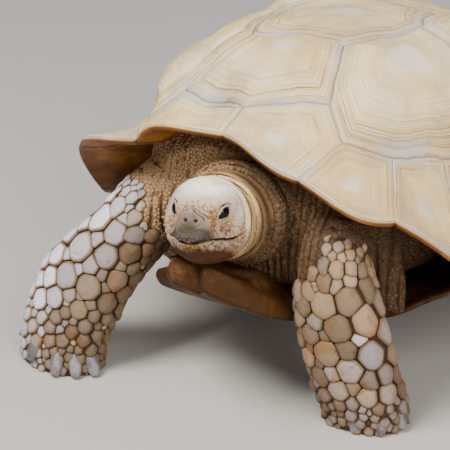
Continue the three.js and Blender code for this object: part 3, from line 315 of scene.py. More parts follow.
class Paint:
    """A short way to write a node material."""

    def __init__(self, name, roughness, specular):
        self.material = bpy.data.materials.new(name)
        self.material.use_nodes = True
        self.tree = self.material.node_tree
        self.shader = self.tree.nodes["Principled BSDF"]
        self.shader.inputs["Roughness"].default_value = roughness
        self.shader.inputs["Specular IOR Level"].default_value = specular
        self.place = self.node("TexCoord").outputs["Object"]

    def put(self, socket, value):
        if isinstance(value, bpy.types.NodeSocket):
            self.tree.links.new(value, socket)
        elif isinstance(value, tuple) and len(value) == 3 and socket.type == "RGBA":
            socket.default_value = (*value, 1)
        else:
            socket.default_value = value

    def node(self, kind, inputs=None, **settings):
        made = self.tree.nodes.new("ShaderNode" + kind)
        for key, value in settings.items():
            setattr(made, key, value)
        for key, value in (inputs or {}).items():
            self.put(made.inputs[key], value)
        return made

    def value(self, name):
        return self.node("Attribute", attribute_name=name).outputs["Fac"]

    def tint(self, name):
        return self.node("Attribute", attribute_name=name).outputs["Color"]

    def math(self, operation, a, b=0.0):
        return self.node("Math", {0: a, 1: b}, operation=operation).outputs[0]

    def times(self, a, b):
        return self.math("MULTIPLY", a, b)

    def span(self, x, low, high, to_low=0.0, to_high=1.0):
        """x from low..high to to_low..to_high, smoothly."""
        inputs = {"Value": x, "From Min": low, "From Max": high, "To Min": to_low, "To Max": to_high}
        return self.node("MapRange", inputs, interpolation_type="SMOOTHSTEP").outputs[0]

    def mix(self, a, b, factor, blend="MIX"):
        return self.node("Mix", {0: factor, 6: a, 7: b}, data_type="RGBA", blend_type=blend).outputs[2]

    def ramp(self, x, stops):
        made = self.node("ValToRGB", {"Fac": x})
        elements = made.color_ramp.elements
        while len(elements) < len(stops):
            elements.new(0.5)
        for element, (at, colour) in zip(elements, stops):
            element.position = at
            element.color = (*colour, 1)
        return made.outputs["Color"]

    def noise(self, scale, detail=4, roughness=0.55, vector=None, distortion=0.0):
        inputs = {"Vector": vector or self.place, "Scale": scale, "Detail": detail,
                  "Roughness": roughness, "Distortion": distortion}
        return self.node("TexNoise", inputs).outputs["Fac"]

    def cell_edges(self, scale):
        inputs = {"Vector": self.place, "Scale": scale}
        return self.node("TexVoronoi", inputs, feature="DISTANCE_TO_EDGE").outputs["Distance"]

    def vector(self, x, y):
        return self.node("CombineXYZ", {0: x, 1: y}).outputs[0]

    def bump(self, height, strength, distance, normal=None):
        made = self.node("Bump", {"Height": height, "Strength": strength, "Distance": distance})
        if normal:
            self.put(made.inputs["Normal"], normal)
        return made.outputs["Normal"]

    def finish(self, colour, roughness=None, normal=None):
        self.put(self.shader.inputs["Base Color"], colour)
        if roughness is not None:
            self.put(self.shader.inputs["Roughness"], roughness)
        if normal is not None:
            self.put(self.shader.inputs["Normal"], normal)
        return self.material


SHELL_COLOURS = {
    "horn": ((0.36, (0.58, 0.39, 0.18)), (0.5, (0.72, 0.53, 0.26)), (0.64, (0.76, 0.61, 0.38))),
    "tan_band": (0.46, 0.29, 0.12),
    "ivory_band": (0.88, 0.76, 0.54),
    "dust": (0.44, 0.34, 0.22),
    "growth_line": (0.16, 0.095, 0.045),
    "fine_line": (0.12, 0.07, 0.035),
    "areola": (0.62, 0.59, 0.56),
    "bleached": (0.46, 0.43, 0.40),
    "beside_seam": (0.44, 0.44, 0.46),
    "seam": (0.20, 0.15, 0.105),
    "stain": (0.46, 0.27, 0.11),
    "chalk": (0.90, 0.82, 0.68),
    # Under the rim: the horn's brown, darkened as painted shade.
    "underside": ((0.35, (0.08, 0.025, 0.003)), (0.52, (0.19, 0.065, 0.009)), (0.7, (0.36, 0.165, 0.033))),
    "underside_groove": (0.02, 0.008, 0.003),
}


def shell_paint():
    """Weathered horn: ivory with tan bands, fine brown growth lines by the seams, grey patches of wear, and
    brown horn under the rim, darkened as painted shade.

    share runs from the areola to the seam, ring counts the growth rings, scute numbers the scutes."""
    p = Paint("shell_horn", 0.55, 0.22)
    share, ring, scute, under, groove = (p.value(n) for n in ("share", "ring", "scute", "under", "seam"))
    tone = SHELL_COLOURS
    base = p.ramp(p.noise(6.5, 4, 0.6), tone["horn"])
    phase = p.math("ADD", ring, p.times(p.noise(26, 3), 0.8))

    # Broad bands along the growth rings, then dust.
    bands = p.noise(0.7, 3, vector=p.vector(phase, p.times(scute, 7.3)))
    spread = p.span(share, 0.4, 0.8, 0.3, 0.7)
    base = p.mix(base, tone["tan_band"], p.times(p.span(bands, 0.52, 0.72), spread))
    base = p.mix(base, tone["ivory_band"], p.times(p.span(bands, 0.46, 0.3), spread))
    dust = p.span(p.noise(11, 7, 0.72, distortion=0.3), 0.42, 0.64, 0, 0.75)
    base = p.mix(base, tone["dust"], dust)

    # Growth lines, strong towards the seams.
    outer = p.span(share, 0.6, 0.93, 0.12, 1.0)
    lines = p.noise(1.5, 3, 0.7, vector=p.vector(phase, p.times(scute, 3.1)))
    patchy = p.span(p.noise(15, 5, 0.65), 0.4, 0.6, 0.25, 1.0)
    base = p.mix(base, tone["growth_line"], p.times(p.span(lines, 0.5, 0.63), p.times(outer, patchy)))
    thread = p.noise(4.0, 2, 0.5, vector=p.vector(phase, p.times(scute, 1.7)))
    base = p.mix(base, tone["fine_line"], p.times(p.span(thread, 0.55, 0.64), p.times(outer, 0.85)))

    # Worn areolas, bleached edges and the seams.
    areola = p.times(p.span(share, 0.3, 0.08), p.span(p.noise(8, 3), 0.4, 0.6, 0.3, 0.9))
    base = p.mix(base, tone["areola"], areola)
    bleached = p.times(p.span(share, 0.8, 0.95), p.span(p.noise(16, 4, 0.6), 0.46, 0.62, 0, 0.75))
    base = p.mix(base, tone["bleached"], bleached)
    edge = p.times(p.span(share, 0.95, 0.975), p.span(share, 0.995, 0.985))
    base = p.mix(base, tone["beside_seam"], p.times(edge, 0.3))
    base = p.mix(base, tone["seam"], p.span(share, 0.984, 0.999, 0, 0.7))
    stain = p.span(p.noise(9, 5, 0.7, distortion=0.6), 0.6, 0.75)
    base = p.mix(base, tone["stain"], p.times(stain, p.span(share, 0.4, 0.95, 0.1, 0.6)))
    base = p.mix(base, tone["chalk"], p.span(p.noise(90, 6, 0.7), 0.6, 0.75, 0, 0.3))

    # The underside: brown horn darkened as painted shade, grading in from the rim by under.
    brown = p.ramp(p.noise(14, 6, 0.65, distortion=0.4), tone["underside"])
    brown = p.mix(brown, tone["underside_groove"], p.times(groove, 0.9))
    grain = p.noise(420, 5, 0.7)
    normal = p.bump(lines, 0.25, 0.0006)
    normal = p.bump(grain, 0.2, 0.0004, normal)
    normal = p.bump(p.noise(60, 6, 0.6), 0.35, 0.001, normal)
    return p.finish(p.mix(base, brown, under), p.span(grain, 0.3, 0.7, 0.42, 0.62), normal)


# The plastron's horn is painted dark: painted shade from the body above it.
PLASTRON_SHADED_COLOURS = {
    "horn": ((0.32, (0.024, 0.009, 0.002)), (0.5, (0.065, 0.026, 0.006)), (0.68, (0.20, 0.11, 0.04))),
    "growth_line": (0.05, 0.02, 0.008),
    "seam": (0.02, 0.008, 0.004),
}


def plastron_paint():
    """Horn darkened to brown as painted shade from the body above, with amber patches and one line to each
    growth ring.
    """
    p = Paint("plastron_horn", 0.55, 0.15)
    share, ring = p.value("share"), p.value("ring")
    tone = PLASTRON_SHADED_COLOURS
    base = p.ramp(p.noise(12, 6, 0.65, distortion=0.5), tone["horn"])
    line = p.math("ABSOLUTE", p.math("SUBTRACT", p.math("FRACT", ring), 0.5))
    base = p.mix(base, tone["growth_line"], p.span(line, 0.38, 0.5, 0, 0.6))
    base = p.mix(base, tone["seam"], p.span(share, 0.97, 0.995))
    normal = p.bump(p.noise(160, 6, 0.65), 0.4, 0.0006)
    return p.finish(base, p.span(p.noise(50), 0.3, 0.7, 0.4, 0.62), normal)


SKIN_COLOURS = {
    "leather": ((0.35, (0.20, 0.11, 0.05)), (0.55, (0.34, 0.20, 0.10)), (0.72, (0.46, 0.31, 0.17))),
    "shaded": (0.07, 0.035, 0.016),
    "collar": (0.72, 0.50, 0.24),
    "shade_between_plates": (0.045, 0.024, 0.012),
    "fold": (0.03, 0.014, 0.006),
    "cream": (0.95, 0.82, 0.62),
    "mouth": (0.012, 0.008, 0.006),
}
# These darken the face, by multiplying: in wide stains, in specks and, as painted shade, in its grooves.
FACE_SHADES = {"stain": (0.66, 0.62, 0.60), "speck": (0.55, 0.44, 0.36), "groove": (0.26, 0.18, 0.13)}


def skin_paint():
    """Leathery skin: tan where it bulges and lit, with painted shade in its folds and on its side under the
    shell, pale and smooth on the head.
    """
    p = Paint("skin_leather", 0.8, 0.1)
    fold = p.value("fold")
    tone = SKIN_COLOURS
    body = p.ramp(p.noise(30, 5, 0.6), tone["leather"])
    # pale is lit tan; where it is low the skin takes the painted shade under the shell.
    body = p.mix(tone["shaded"], body, p.value("pale"))
    body = p.mix(body, tone["collar"], p.value("collar"))
    # Painted shade in the grooves between the scales.
    body = p.mix(body, tone["shade_between_plates"], p.value("plated"))
    # Painted shade in the folds and wrinkles of the loose skin.
    body = p.mix(body, tone["fold"], fold)
    face = p.mix(p.tint("tint"), tone["cream"], p.span(p.noise(60, 6, 0.65), 0.55, 0.72, 0, 0.08))
    for key, where in [
        ("stain", p.span(p.noise(24, 5, 0.7), 0.46, 0.68, 0, 0.9)),
        ("speck", p.span(p.noise(150, 6, 0.7), 0.54, 0.72, 0, 0.8)),
        ("groove", p.span(fold, 0.12, 1.0)),
    ]:
        face = p.mix(face, FACE_SHADES[key], where, "MULTIPLY")
    # dark: painted shade in the mouth's gap and the nostril pits, with the skin in the eye openings made as
    # dark.
    colour = p.mix(p.mix(body, face, p.value("head")), tone["mouth"], p.value("dark"))
    normal = p.bump(p.span(p.cell_edges(330), 0.0, 0.2), 0.25, 0.0005)
    normal = p.bump(p.noise(160, 5, 0.6), 0.3, 0.0008, normal)
    return p.finish(colour, p.span(p.noise(70), 0.3, 0.7, 0.55, 0.8), normal)


PLATE_COLOURS = {
    "rim": (0.17, 0.11, 0.06), "middle": (0.22, 0.15, 0.092), "worn": (0.52, 0.50, 0.58),
    "root": (0.025, 0.013, 0.007), "stain": (0.22, 0.10, 0.036),
}
GRANULE_COLOURS = {
    "rim": (0.17, 0.10, 0.05), "middle": (0.21, 0.125, 0.063), "worn": (0.29, 0.185, 0.098),
    "root": (0.085, 0.046, 0.022), "stain": (0.16, 0.088, 0.04),
}


def scale_paint(name, tones, shades):
    """Horny plates: a dark root, painted as shade in the groove round each plate, a tan rim with growth
    lines, and a grey middle from weathering and painted light.

    share runs from the middle to the root. tone makes plates darker or lighter, between shades, partly at
    random and partly as painted light and shade."""
    p = Paint(name, 0.6, 0.2)
    share, tone, wear = p.value("share"), p.value("tone"), p.value("wear")
    mottle = p.noise(140, 5, 0.65)
    body = p.mix(tones["rim"], tones["middle"], p.span(share, 0.92, 0.6))
    body = p.mix(body, tones["worn"], p.times(p.span(share, 0.9, 0.66), wear))
    # Stains, kept to the plates' parts that are neither weathered nor lit.
    stain = p.times(p.span(p.noise(38, 4, 0.6), 0.5, 0.66), p.span(wear, 0.5, 0.1, 0, 0.75))
    body = p.mix(body, tones["stain"], stain)
    inputs = {"W": p.math("ADD", p.times(share, 9), p.times(tone, 50)), "Scale": 1.6, "Detail": 2}
    rings = p.node("TexNoise", inputs, noise_dimensions="1D").outputs["Fac"]
    body = p.mix(body, tones["root"], p.times(p.span(rings, 0.52, 0.7, 0, 0.3), p.span(share, 0.3, 0.6)))
    body = p.mix(body, tones["root"], p.span(mottle, 0.56, 0.76, 0, 0.55))
    # Painted light and shade: where the kind says so, tone follows the mask of weathering and light.
    shade = p.span(tone, 0, 1, *shades)
    grey = p.node("CombineColor", {0: shade, 1: shade, 2: shade}).outputs[0]
    body = p.mix(body, grey, 1.0, "MULTIPLY")
    # The dark root is painted shade in the groove round each plate.
    body = p.mix(body, tones["root"], p.span(share, 0.95, 0.995))
    normal = p.bump(rings, 0.3, 0.0008)
    normal = p.bump(mottle, 0.3, 0.0006, normal)
    normal = p.bump(p.noise(700, 4, 0.7), 0.25, 0.0003, normal)
    return p.finish(body, p.span(mottle, 0.3, 0.7, 0.45, 0.7), normal)


CLAW_COLOURS = ((0.3, (0.06, 0.052, 0.05)), (0.5, (0.13, 0.12, 0.124)), (0.7, (0.26, 0.245, 0.25)))
CLAW_ROOT = (0.14, 0.09, 0.06)


def claw_paint():
    """Grey streaked horn, brown at the root."""
    p = Paint("claw_horn", 0.42, 0.45)
    streaks = p.noise(60, 5, 0.65)
    base = p.mix(CLAW_ROOT, p.ramp(streaks, CLAW_COLOURS), p.span(p.value("share"), 0.0, 0.25))
    normal = p.bump(p.noise(300, 5, 0.7), 0.3, 0.0005)
    return p.finish(base, p.span(streaks, 0.3, 0.7, 0.35, 0.6), normal)


PUPIL = (0.004, 0.003, 0.003)
IRIS_COLOURS = ((0.4, (0.006, 0.004, 0.003)), (0.6, (0.02, 0.013, 0.008)))


def eye_paint():
    """A wet eye, nearly black. share is the angle from the gaze."""
    p = Paint("eye_wet", 0.08, 0.12)
    iris = p.ramp(p.noise(900, 3), IRIS_COLOURS)
    p.shader.inputs["Coat Weight"].default_value = 0.06
    p.shader.inputs["Coat Roughness"].default_value = 0.03
    return p.finish(p.mix(PUPIL, iris, p.span(p.value("share"), 0.3, 0.42)))


# --------------------------------------------------------------------------------------------------
# The dome of the carapace
# --------------------------------------------------------------------------------------------------


def polar(points):
    p = np.array(points, float)
    return np.arctan2(p[:, 0], DOME_CENTRE - p[:, 1]), np.hypot(p[:, 0], p[:, 1] - DOME_CENTRE), p[:, 2]


DOME_LINES = [polar(SHOULDER), polar(INNER), polar(RIM)]
RIM_TURNS = DOME_LINES[2][0]


def serration(disc, t, turn):
    """How far the free edges of the marginals stand out and up: none at their seams."""
    k = np.clip(np.searchsorted(RIM_TURNS, turn) - 1, 0, len(RIM_TURNS) - 2)
    f = clamp01((turn - RIM_TURNS[k]) / (RIM_TURNS[k + 1] - RIM_TURNS[k]))
    rearmost = k == len(RIM_TURNS) - 2
    f = np.where(rearmost, f / 2, f)
    flare = 0.35 + 0.65 * smooth(np.abs(disc[:, 1]) / np.maximum(t, 1e-9) * 1.5 - 0.5)
    lift = np.where(disc[:, 0] < 0, np.take(LIFT_RIGHT, k), np.take(LIFT_LEFT, k))
    skew = np.where(rearmost, 1, np.where((k == 0) & (disc[:, 0] < 0), 2.2, 1.5))
    wave = np.sin(math.pi * f**skew) * smooth((t - T_INNER) / (1 - T_INNER)) ** 1.5
    return SERRATION * flare * wave, lift * wave


def dome_point(disc):
    """A point of the unit disc (n, 2) to a point of the carapace, under its scutes."""
    t = np.linalg.norm(disc, axis=1)
    turn = np.arctan2(np.abs(disc[:, 0]), -disc[:, 1])
    reaches = [cubic(a, r, turn, True) for a, r, _ in DOME_LINES]
    heights = [cubic(a, z, turn, True) for a, _, z in DOME_LINES]
    right_front = np.where(disc[:, 0] < 0, smooth(2.6 - turn * 1.4), 0)
    for k in (0, 1):
        heights[k] = heights[k] - RIGHT_DROP[k] * right_front * smooth(turn * 4)
    sag = bell((turn - RIM_SAG["turn"]) / RIM_SAG["spread"])
    heights[2] = heights[2] - RIM_SAG["drop"] * sag * (disc[:, 0] < 0)
    between = clamp01((t - T_SHOULDER) / (T_INNER - T_SHOULDER))
    swell = np.sin(math.pi * between**1.25) ** 1.5 * smooth(turn * 5 - 2)
    flank = (FLANK + FLANK_RIGHT * right_front) * swell
    knots = [-T_SHOULDER, 0, T_SHOULDER, T_INNER, 1]
    zero = np.zeros_like(t)
    outwards, upwards = serration(disc, t, turn)
    reach = cubic(knots, [-reaches[0], zero, *reaches], t) + flank + outwards
    height = cubic(knots, [heights[0], zero + SHELL_TOP, *heights], t) + flank + upwards
    away = np.where(t[:, None] > 1e-9, disc / np.maximum(t, 1e-9)[:, None], [0.0, -1.0])
    return np.stack([away[:, 0] * reach, DOME_CENTRE + away[:, 1] * reach, height], 1)


def normals_of(surface, disc, step=2e-3):
    dx = surface(disc + [step, 0]) - surface(disc - [step, 0])
    dy = surface(disc + [0, step]) - surface(disc - [0, step])
    return unit(np.cross(dx, dy))


def disc_at(x, y):
    """The disc point whose place on the dome is above (x, y)."""
    way = unit(np.array([x, y - DOME_CENTRE], float))
    ts = np.linspace(0, 1, 2001)
    reach = np.linalg.norm(dome_point(ts[:, None] * way)[:, :2] - [0, DOME_CENTRE], axis=1)
    return way * np.interp(math.hypot(x, y - DOME_CENTRE), reach, ts)


# --------------------------------------------------------------------------------------------------
# Scutes: plates that share their seams
# --------------------------------------------------------------------------------------------------


class Scutes:
    """Scutes on a surface over the disc, between named corners; they share the seams."""

    def __init__(self, surface, corners, step, rim_step=None, waver=0.0):
        self.surface, self.corners, self.step, self.waver = surface, corners, step, waver
        self.rim_step = rim_step or step
        self.mesh = Mesh()
        self.corner_index, self.edges = {}, {}
        self.count = 0

    def seam(self, a, b):
        """Disc points and numbers of the seam from a to b, without b."""
        key = (a, b) if a < b else (b, a)
        if key not in self.edges:
            first, second = self.corners[key[0]], self.corners[key[1]]
            on_rim = key[0][0] == "r" and key[1][0] == "r"
            length = np.linalg.norm(np.diff(self.surface(np.array([first, second])), axis=0))
            pieces = max(2, round(length / (self.rim_step if on_rim else self.step)))
            f = np.arange(1, pieces)[:, None] / pieces
            disc = first + (second - first) * f
            if on_rim:
                disc = unit(disc)
            else:
                across = np.array([-(second - first)[1], (second - first)[0]])
                place = np.concatenate([disc, disc[:, :1] * 0], 1)
                shake = noise(place, 0.05, 3) + 0.5 * noise(place, 0.02, 4)
                disc = disc + across * (self.waver * shake * np.sin(math.pi * f[:, 0]) ** 0.5)[:, None]
            self.edges[key] = (disc, self.mesh.add(self.surface(disc), share=1.0, seam=1.0))
        disc, index = self.edges[key]
        if a != key[0]:
            disc, index = disc[::-1], index[::-1]
        if a not in self.corner_index:
            corner = self.surface(self.corners[a][None])
            self.corner_index[a] = self.mesh.add(corner, share=1.0, seam=1.0)
        return np.concatenate([self.corners[a][None], disc]), np.concatenate([self.corner_index[a], index])

    def outline(self, names):
        """Disc points and numbers of the seams round the named corners, and where each seam starts."""
        parts = [self.seam(a, b) for a, b in zip(names, names[1:] + names[:1])]
        starts = np.cumsum([0] + [len(index) for _, index in parts[:-1]])
        return np.concatenate([d for d, _ in parts]), np.concatenate([index for _, index in parts]), starts

    def raise_scute(self, names, areola, bulge, rise, rings, ring_height, samples=4):
        """Rises from the seam, then gently to bulge at the areola, in growth rings."""
        crowd = 1.5  # the rings crowd towards the seam
        outline, outer, _ = self.outline(names)
        self.count += 1
        bevel = np.array([0.995, 0.985, 0.972])
        shares = np.concatenate([bevel, (np.linspace(0.96**crowd, 0.0004, rings * samples)) ** (1 / crowd)])
        disc = areola + (outline - areola) * shares[:, None, None]
        flat = disc.reshape(-1, 2)
        place = self.surface(flat)
        normal = normals_of(self.surface, flat)
        share = np.repeat(shares, len(outline))
        heights = [bulge, mix(rise, bulge, 0.92), mix(rise, bulge, 0.55), rise, rise * 0.9, rise * 0.55, 0]
        lift = np.interp(share, [0, 0.3, 0.62, 0.9, 0.965, 0.985, 1], heights)
        uneven = 0.35 * fractal(place, 60, self.count, 2) + 0.12 * fractal(place, 14, 9, 2)
        phase = rings * share**crowd + uneven
        saw = phase - np.floor(phase)
        ridge = np.minimum(saw / 0.7, (1 - saw) / 0.3)
        strength = 0.3 + 0.7 * smooth(0.5 + noise(place, 70, 21))
        strength = strength * (0.45 + 1.3 * smooth((share - 0.45) * 3))
        window = smooth(share * 6) * smooth((0.975 - share) * 30)
        lift = lift + ring_height * (ridge - 0.5) * strength * window
        lift = lift + 0.35 * fractal(place, 22, 5, 4) * window
        lifted = (place + normal * lift[:, None]).reshape(len(shares), len(outline), 3)
        shape = lifted.shape[:2]
        share, phase = share.reshape(shape), phase.reshape(shape)
        index = self.mesh.add(lifted, share=share, ring=phase, scute=float(self.count))
        self.mesh.rings([outer, *index[:-1]])
        centre = self.mesh.add(lifted[-1].mean(0)[None], share=0.0, ring=0.0, scute=float(self.count))
        self.mesh.fan(index[-2], centre[0])


MARGINALS = 11
# Scutes by their corners, and the place of their areola seen from above. r corners are on the rim and
# i corners inside the marginals; s corners are where costals meet on that inner line; a corners are
# between vertebrals and b corners between costals, on their zigzag seams.
ZIGZAG = {
    "iv": (84, -270), "a1": (54, -196), "b1": (76, -78), "a2": (58, -18),
    "b2": (86, 60), "a3": (58, 118), "b3": (78, 178), "a4": (44, 220),
}
COSTAL_SEAMS = {"s1": (199, -92), "s2": (212, 44), "s3": (190, 160), "s4": (97, 243)}
FIRST_VERTEBRAL = -216
VERTEBRALS = [
    (["a1", "b1", "a2"], -96), (["a2", "b2", "a3"], 54), (["a3", "b3", "a4"], 170),
    (["a4", "s4", "i11"], 236),
]
COSTALS = [
    (["iv", "i1", "i2", "i3", "i4", "s1", "b1", "a1"], 98, -172),
    (["s1", "i5", "i6", "s2", "b2", "a2", "b1"], 130, -16),
    (["s2", "i7", "i8", "s3", "b3", "a3", "b2"], 130, 104),
    (["s3", "i9", "i10", "s4", "a4", "b3"], 114, 182),
]
# The corner that some marginals have besides their four.
ABOVE_MARGINAL = {1: ["iv"], 5: ["s1"], 7: ["s2"], 9: ["s3"], 11: ["s4"]}
# Where the loops of the carapace's underside close, inside the body.
ROOF_MIDDLE = np.array([0, -40, 190.0])


def carapace_corners():
    """The corners of the scutes on the disc, by name and side."""
    corners = {}

    def put(name, x, y, t=None):
        disc = disc_at(x, y) if t is None else unit(np.array([x, y - DOME_CENTRE], float)) * t
        corners[name + "L"], corners[name + "R"] = disc, disc * [-1, 1]

    for k in range(1, MARGINALS + 1):
        put(f"r{k}", *RIM[k][:2], 1)
        put(f"i{k}", *INNER[k][:2], T_INNER)
    for name, (x, y) in ZIGZAG.items():
        put(name, x, y)
    for name, (x, y) in COSTAL_SEAMS.items():
        put(name, x, y, T_INNER)
    corners["r0"] = np.array([0.0, -1])
    corners["i0"] = np.array([0, -T_INNER])
    return corners


def carapace():
    """The horn of the carapace: the scutes, its rim and its inner face."""
    corners = carapace_corners()
    shell = Scutes(dome_point, corners, step=4.5, rim_step=3, waver=0.02)

    def both(names):
        return [n + "L" for n in names] + [n + "R" for n in reversed(names)]

    shell.raise_scute(["i0", "ivL", "a1L", "a1R", "ivR"], disc_at(0, FIRST_VERTEBRAL), **VERTEBRAL)
    for names, y in VERTEBRALS:
        shell.raise_scute(both(names), disc_at(0, y), **VERTEBRAL)
    for side, sign in (("L", 1), ("R", -1)):
        named = lambda names: [n if n in corners else n + side for n in names][::sign]
        for names, x, y in COSTALS:
            shell.raise_scute(named(names), disc_at(sign * x, y), **COSTAL)
        for k in range(1, MARGINALS + 1):
            names = named([f"r{k - 1}", f"r{k}", f"i{k}", *ABOVE_MARGINAL.get(k, []), f"i{k - 1}"])
            middle = np.mean([corners[n] for n in names], 0)
            rim = np.mean([corners[n] for n in names if n[0] == "r"], 0)
            shell.raise_scute(names, mix(middle, rim, 0.25), **MARGINAL)
    shell.raise_scute(["r11L", "r11R", "i11R", "i11L"], np.array([0, 0.9]), **MARGINAL)
    line_underside(shell)
    return shell.mesh


def line_underside(shell):
    """The underside of the carapace, in loops from the rim inwards."""
    mesh = shell.mesh
    left = [f"r{k}L" for k in range(1, MARGINALS + 1)]
    right = [f"r{k}R" for k in range(MARGINALS, 0, -1)]
    names = ["r0", *left, *right]
    rim_disc, rim, starts = shell.outline(names)
    edge = mesh.all_points()[rim]
    seam_at = edge[starts]
    front = smooth(-rim_disc[:, 1] * 1.6 - 0.55)
    rear = smooth(rim_disc[:, 1] * 1.6 - 0.55)
    depth, climb = (
        front * UNDER["front"][k] + rear * UNDER["rear"][k] + (1 - front - rear) * UNDER["bridge"][k]
        for k in (0, 1)
    )
    reach = np.hypot(edge[:, 0], edge[:, 1] - DOME_CENTRE)
    to_seam = np.min(np.linalg.norm(edge[:, None, :2] - seam_at[None, :, :2], axis=2), axis=1)
    groove = bell(to_seam / 2.2)

    def inwards(inset, drop, share, climbing, crease, brown):
        """A loop of the underside, moved in from the edge of the rim and down."""
        p = edge.copy()
        scale = 1 - inset / reach
        p[:, 0] *= scale
        p[:, 1] = DOME_CENTRE + (p[:, 1] - DOME_CENTRE) * scale
        p[:, 2] += -drop + climbing * climb + crease * groove
        bumps = fractal(p, 26, 8, 3) * (1.2 * share)
        p[:, 2] += bumps
        return mesh.add(p, under=brown, seam=groove, share=0.5, ring=share * 9)

    loops = [rim]
    # The last value is how far the underside's brown, darkened as painted shade, has come in.
    for inset, drop, brown in [(-0.6, 0.8, 0.25), (-0.9, 1.8, 0.7), (-0.6, 3.2, 1.0), (0.3, 5.0, 1.0)]:
        loops.append(inwards(inset, drop, 0, 0, 0.6, brown))
    for share in np.linspace(0.04, 1, 26):
        drop = cubic([0.03, 0.5, 1], [RIM_LIP, RIM_LIP + 5, RIM_LIP + 4], share)
        climbing = cubic([0.03, 0.5, 1], [0, 0.35, 1], share)
        loops.append(inwards(share * depth, drop, share, climbing, 1.6, 1.0))
    last = mesh.all_points()[loops[-1]]
    for share in (0.12, 0.3, 0.6):
        loops.append(mesh.add(mix(last, ROOF_MIDDLE, share), under=1.0))
    mesh.rings(loops[::-1])
    mesh.fan(loops[-1][::-1], mesh.add(ROOF_MIDDLE[None], under=1.0)[0])


# --------------------------------------------------------------------------------------------------
# Plastron
# --------------------------------------------------------------------------------------------------

PLASTRON = {
    "notch": (0, -366), "gular": (19, -384), "gularSide": (44, -352), "humeral": (64, -308),
    "axilla": (74, -246),
    "bridgeFront": (196, -226), "bridgeA": (210, -130), "bridgeB": (213, -30), "bridgeC": (212, 60),
    "bridgeRear": (197, 138), "inguinal": (86, 156), "femoral": (76, 226), "anal": (42, 268),
    "analNotch": (0, 244),
}
PLASTRON_RIGHT = {"humeral": (86, -316), "axilla": (88, -250)}
MIDLINE = {
    "gularHumeral": -318, "humeralPectoral": -205, "pectoralAbdominal": -150, "abdominalFemoral": 58,
    "femoralAnal": 176,
}
PLASTRON_SCUTES = [
    ["notch", "gular", "gularSide", "gularHumeral"],
    ["gularHumeral", "gularSide", "humeral", "axilla", "humeralPectoral"],
    ["humeralPectoral", "axilla", "bridgeFront", "bridgeA", "pectoralAbdominal"],
    ["pectoralAbdominal", "bridgeA", "bridgeB", "bridgeC", "abdominalFemoral"],
    ["abdominalFemoral", "bridgeC", "bridgeRear", "inguinal", "femoral", "femoralAnal"],
    ["femoralAnal", "femoral", "anal", "analNotch"],
]
# The edge and the inner face of the plastron, in loops: share of the outline, share of the thickness.
PLASTRON_EDGE = [
    (1.006, 0.12), (1.012, 0.35), (1.012, 0.6), (1.004, 0.85), (0.985, 1.0), (0.93, 1.04), (0.6, 1.0),
    (0.3, 1.0),
]


def plastron_height(x, y):
    """Height of the underside of the plastron."""
    bridge = smooth((np.abs(x) - 118) / 96) * 44
    prow = 60 * clamp01((-y - 270) / 116) ** 1.6
    stern = 10 * clamp01((y - 190) / 80) ** 1.5
    behind = np.maximum(0, y - SINK_FROM)
    return PLASTRON_Z + bridge + prow + stern - (SINK * behind**2) / (behind + 50)


def under_plastron(disc):
    """The point of the plastron's underside for each place of its plan."""
    return np.stack([disc[:, 0], disc[:, 1], plastron_height(disc[:, 0], disc[:, 1])], 1)


def plastron():
    """The plastron: its scutes seen from below, its edge and its inner face."""
    corners = {name: np.array([0.0, y]) for name, y in MIDLINE.items()}
    for name, (x, y) in PLASTRON.items():
        if x == 0:
            corners[name] = np.array([0.0, y])
        else:
            corners[name + "L"] = np.array([x, y], float)
            corners[name + "R"] = np.array(PLASTRON_RIGHT.get(name, (x, y)), float) * [-1, 1]
    shell = Scutes(under_plastron, corners, step=4, waver=0.015)
    for side in "LR":
        for names in PLASTRON_SCUTES:
            full = [n if n in corners else n + side for n in names]
            if side == "L":
                full.reverse()
            areola = np.mean([corners[n] for n in full], 0)
            shell.raise_scute(full, areola, **PLASTRAL)
    mesh = shell.mesh
    names = list(PLASTRON)
    around = [n if PLASTRON[n][0] == 0 else n + "L" for n in names] + [n + "R" for n in names[1:-1][::-1]]
    disc, rim, _ = shell.outline(around)
    thick = PLASTRON_THICK + 14 * clamp01((-disc[:, 1] - 300) / 60)
    thick = thick * np.where(np.abs(disc[:, 0]) > 150, 0.35, 1)
    loops = [rim]
    for share, level in PLASTRON_EDGE:
        x, y = (disc * share).T
        inner = np.stack([x, y, plastron_height(x, y) + thick * level], 1)
        loops.append(mesh.add(inner, share=0.5, ring=level * 3))
    mesh.rings(loops)
    mesh.fan(loops[-1], mesh.add(np.array([[0, -20, PLASTRON_Z + PLASTRON_THICK]]), share=0.5)[0])
    return mesh


# --------------------------------------------------------------------------------------------------
# Lofts
# --------------------------------------------------------------------------------------------------


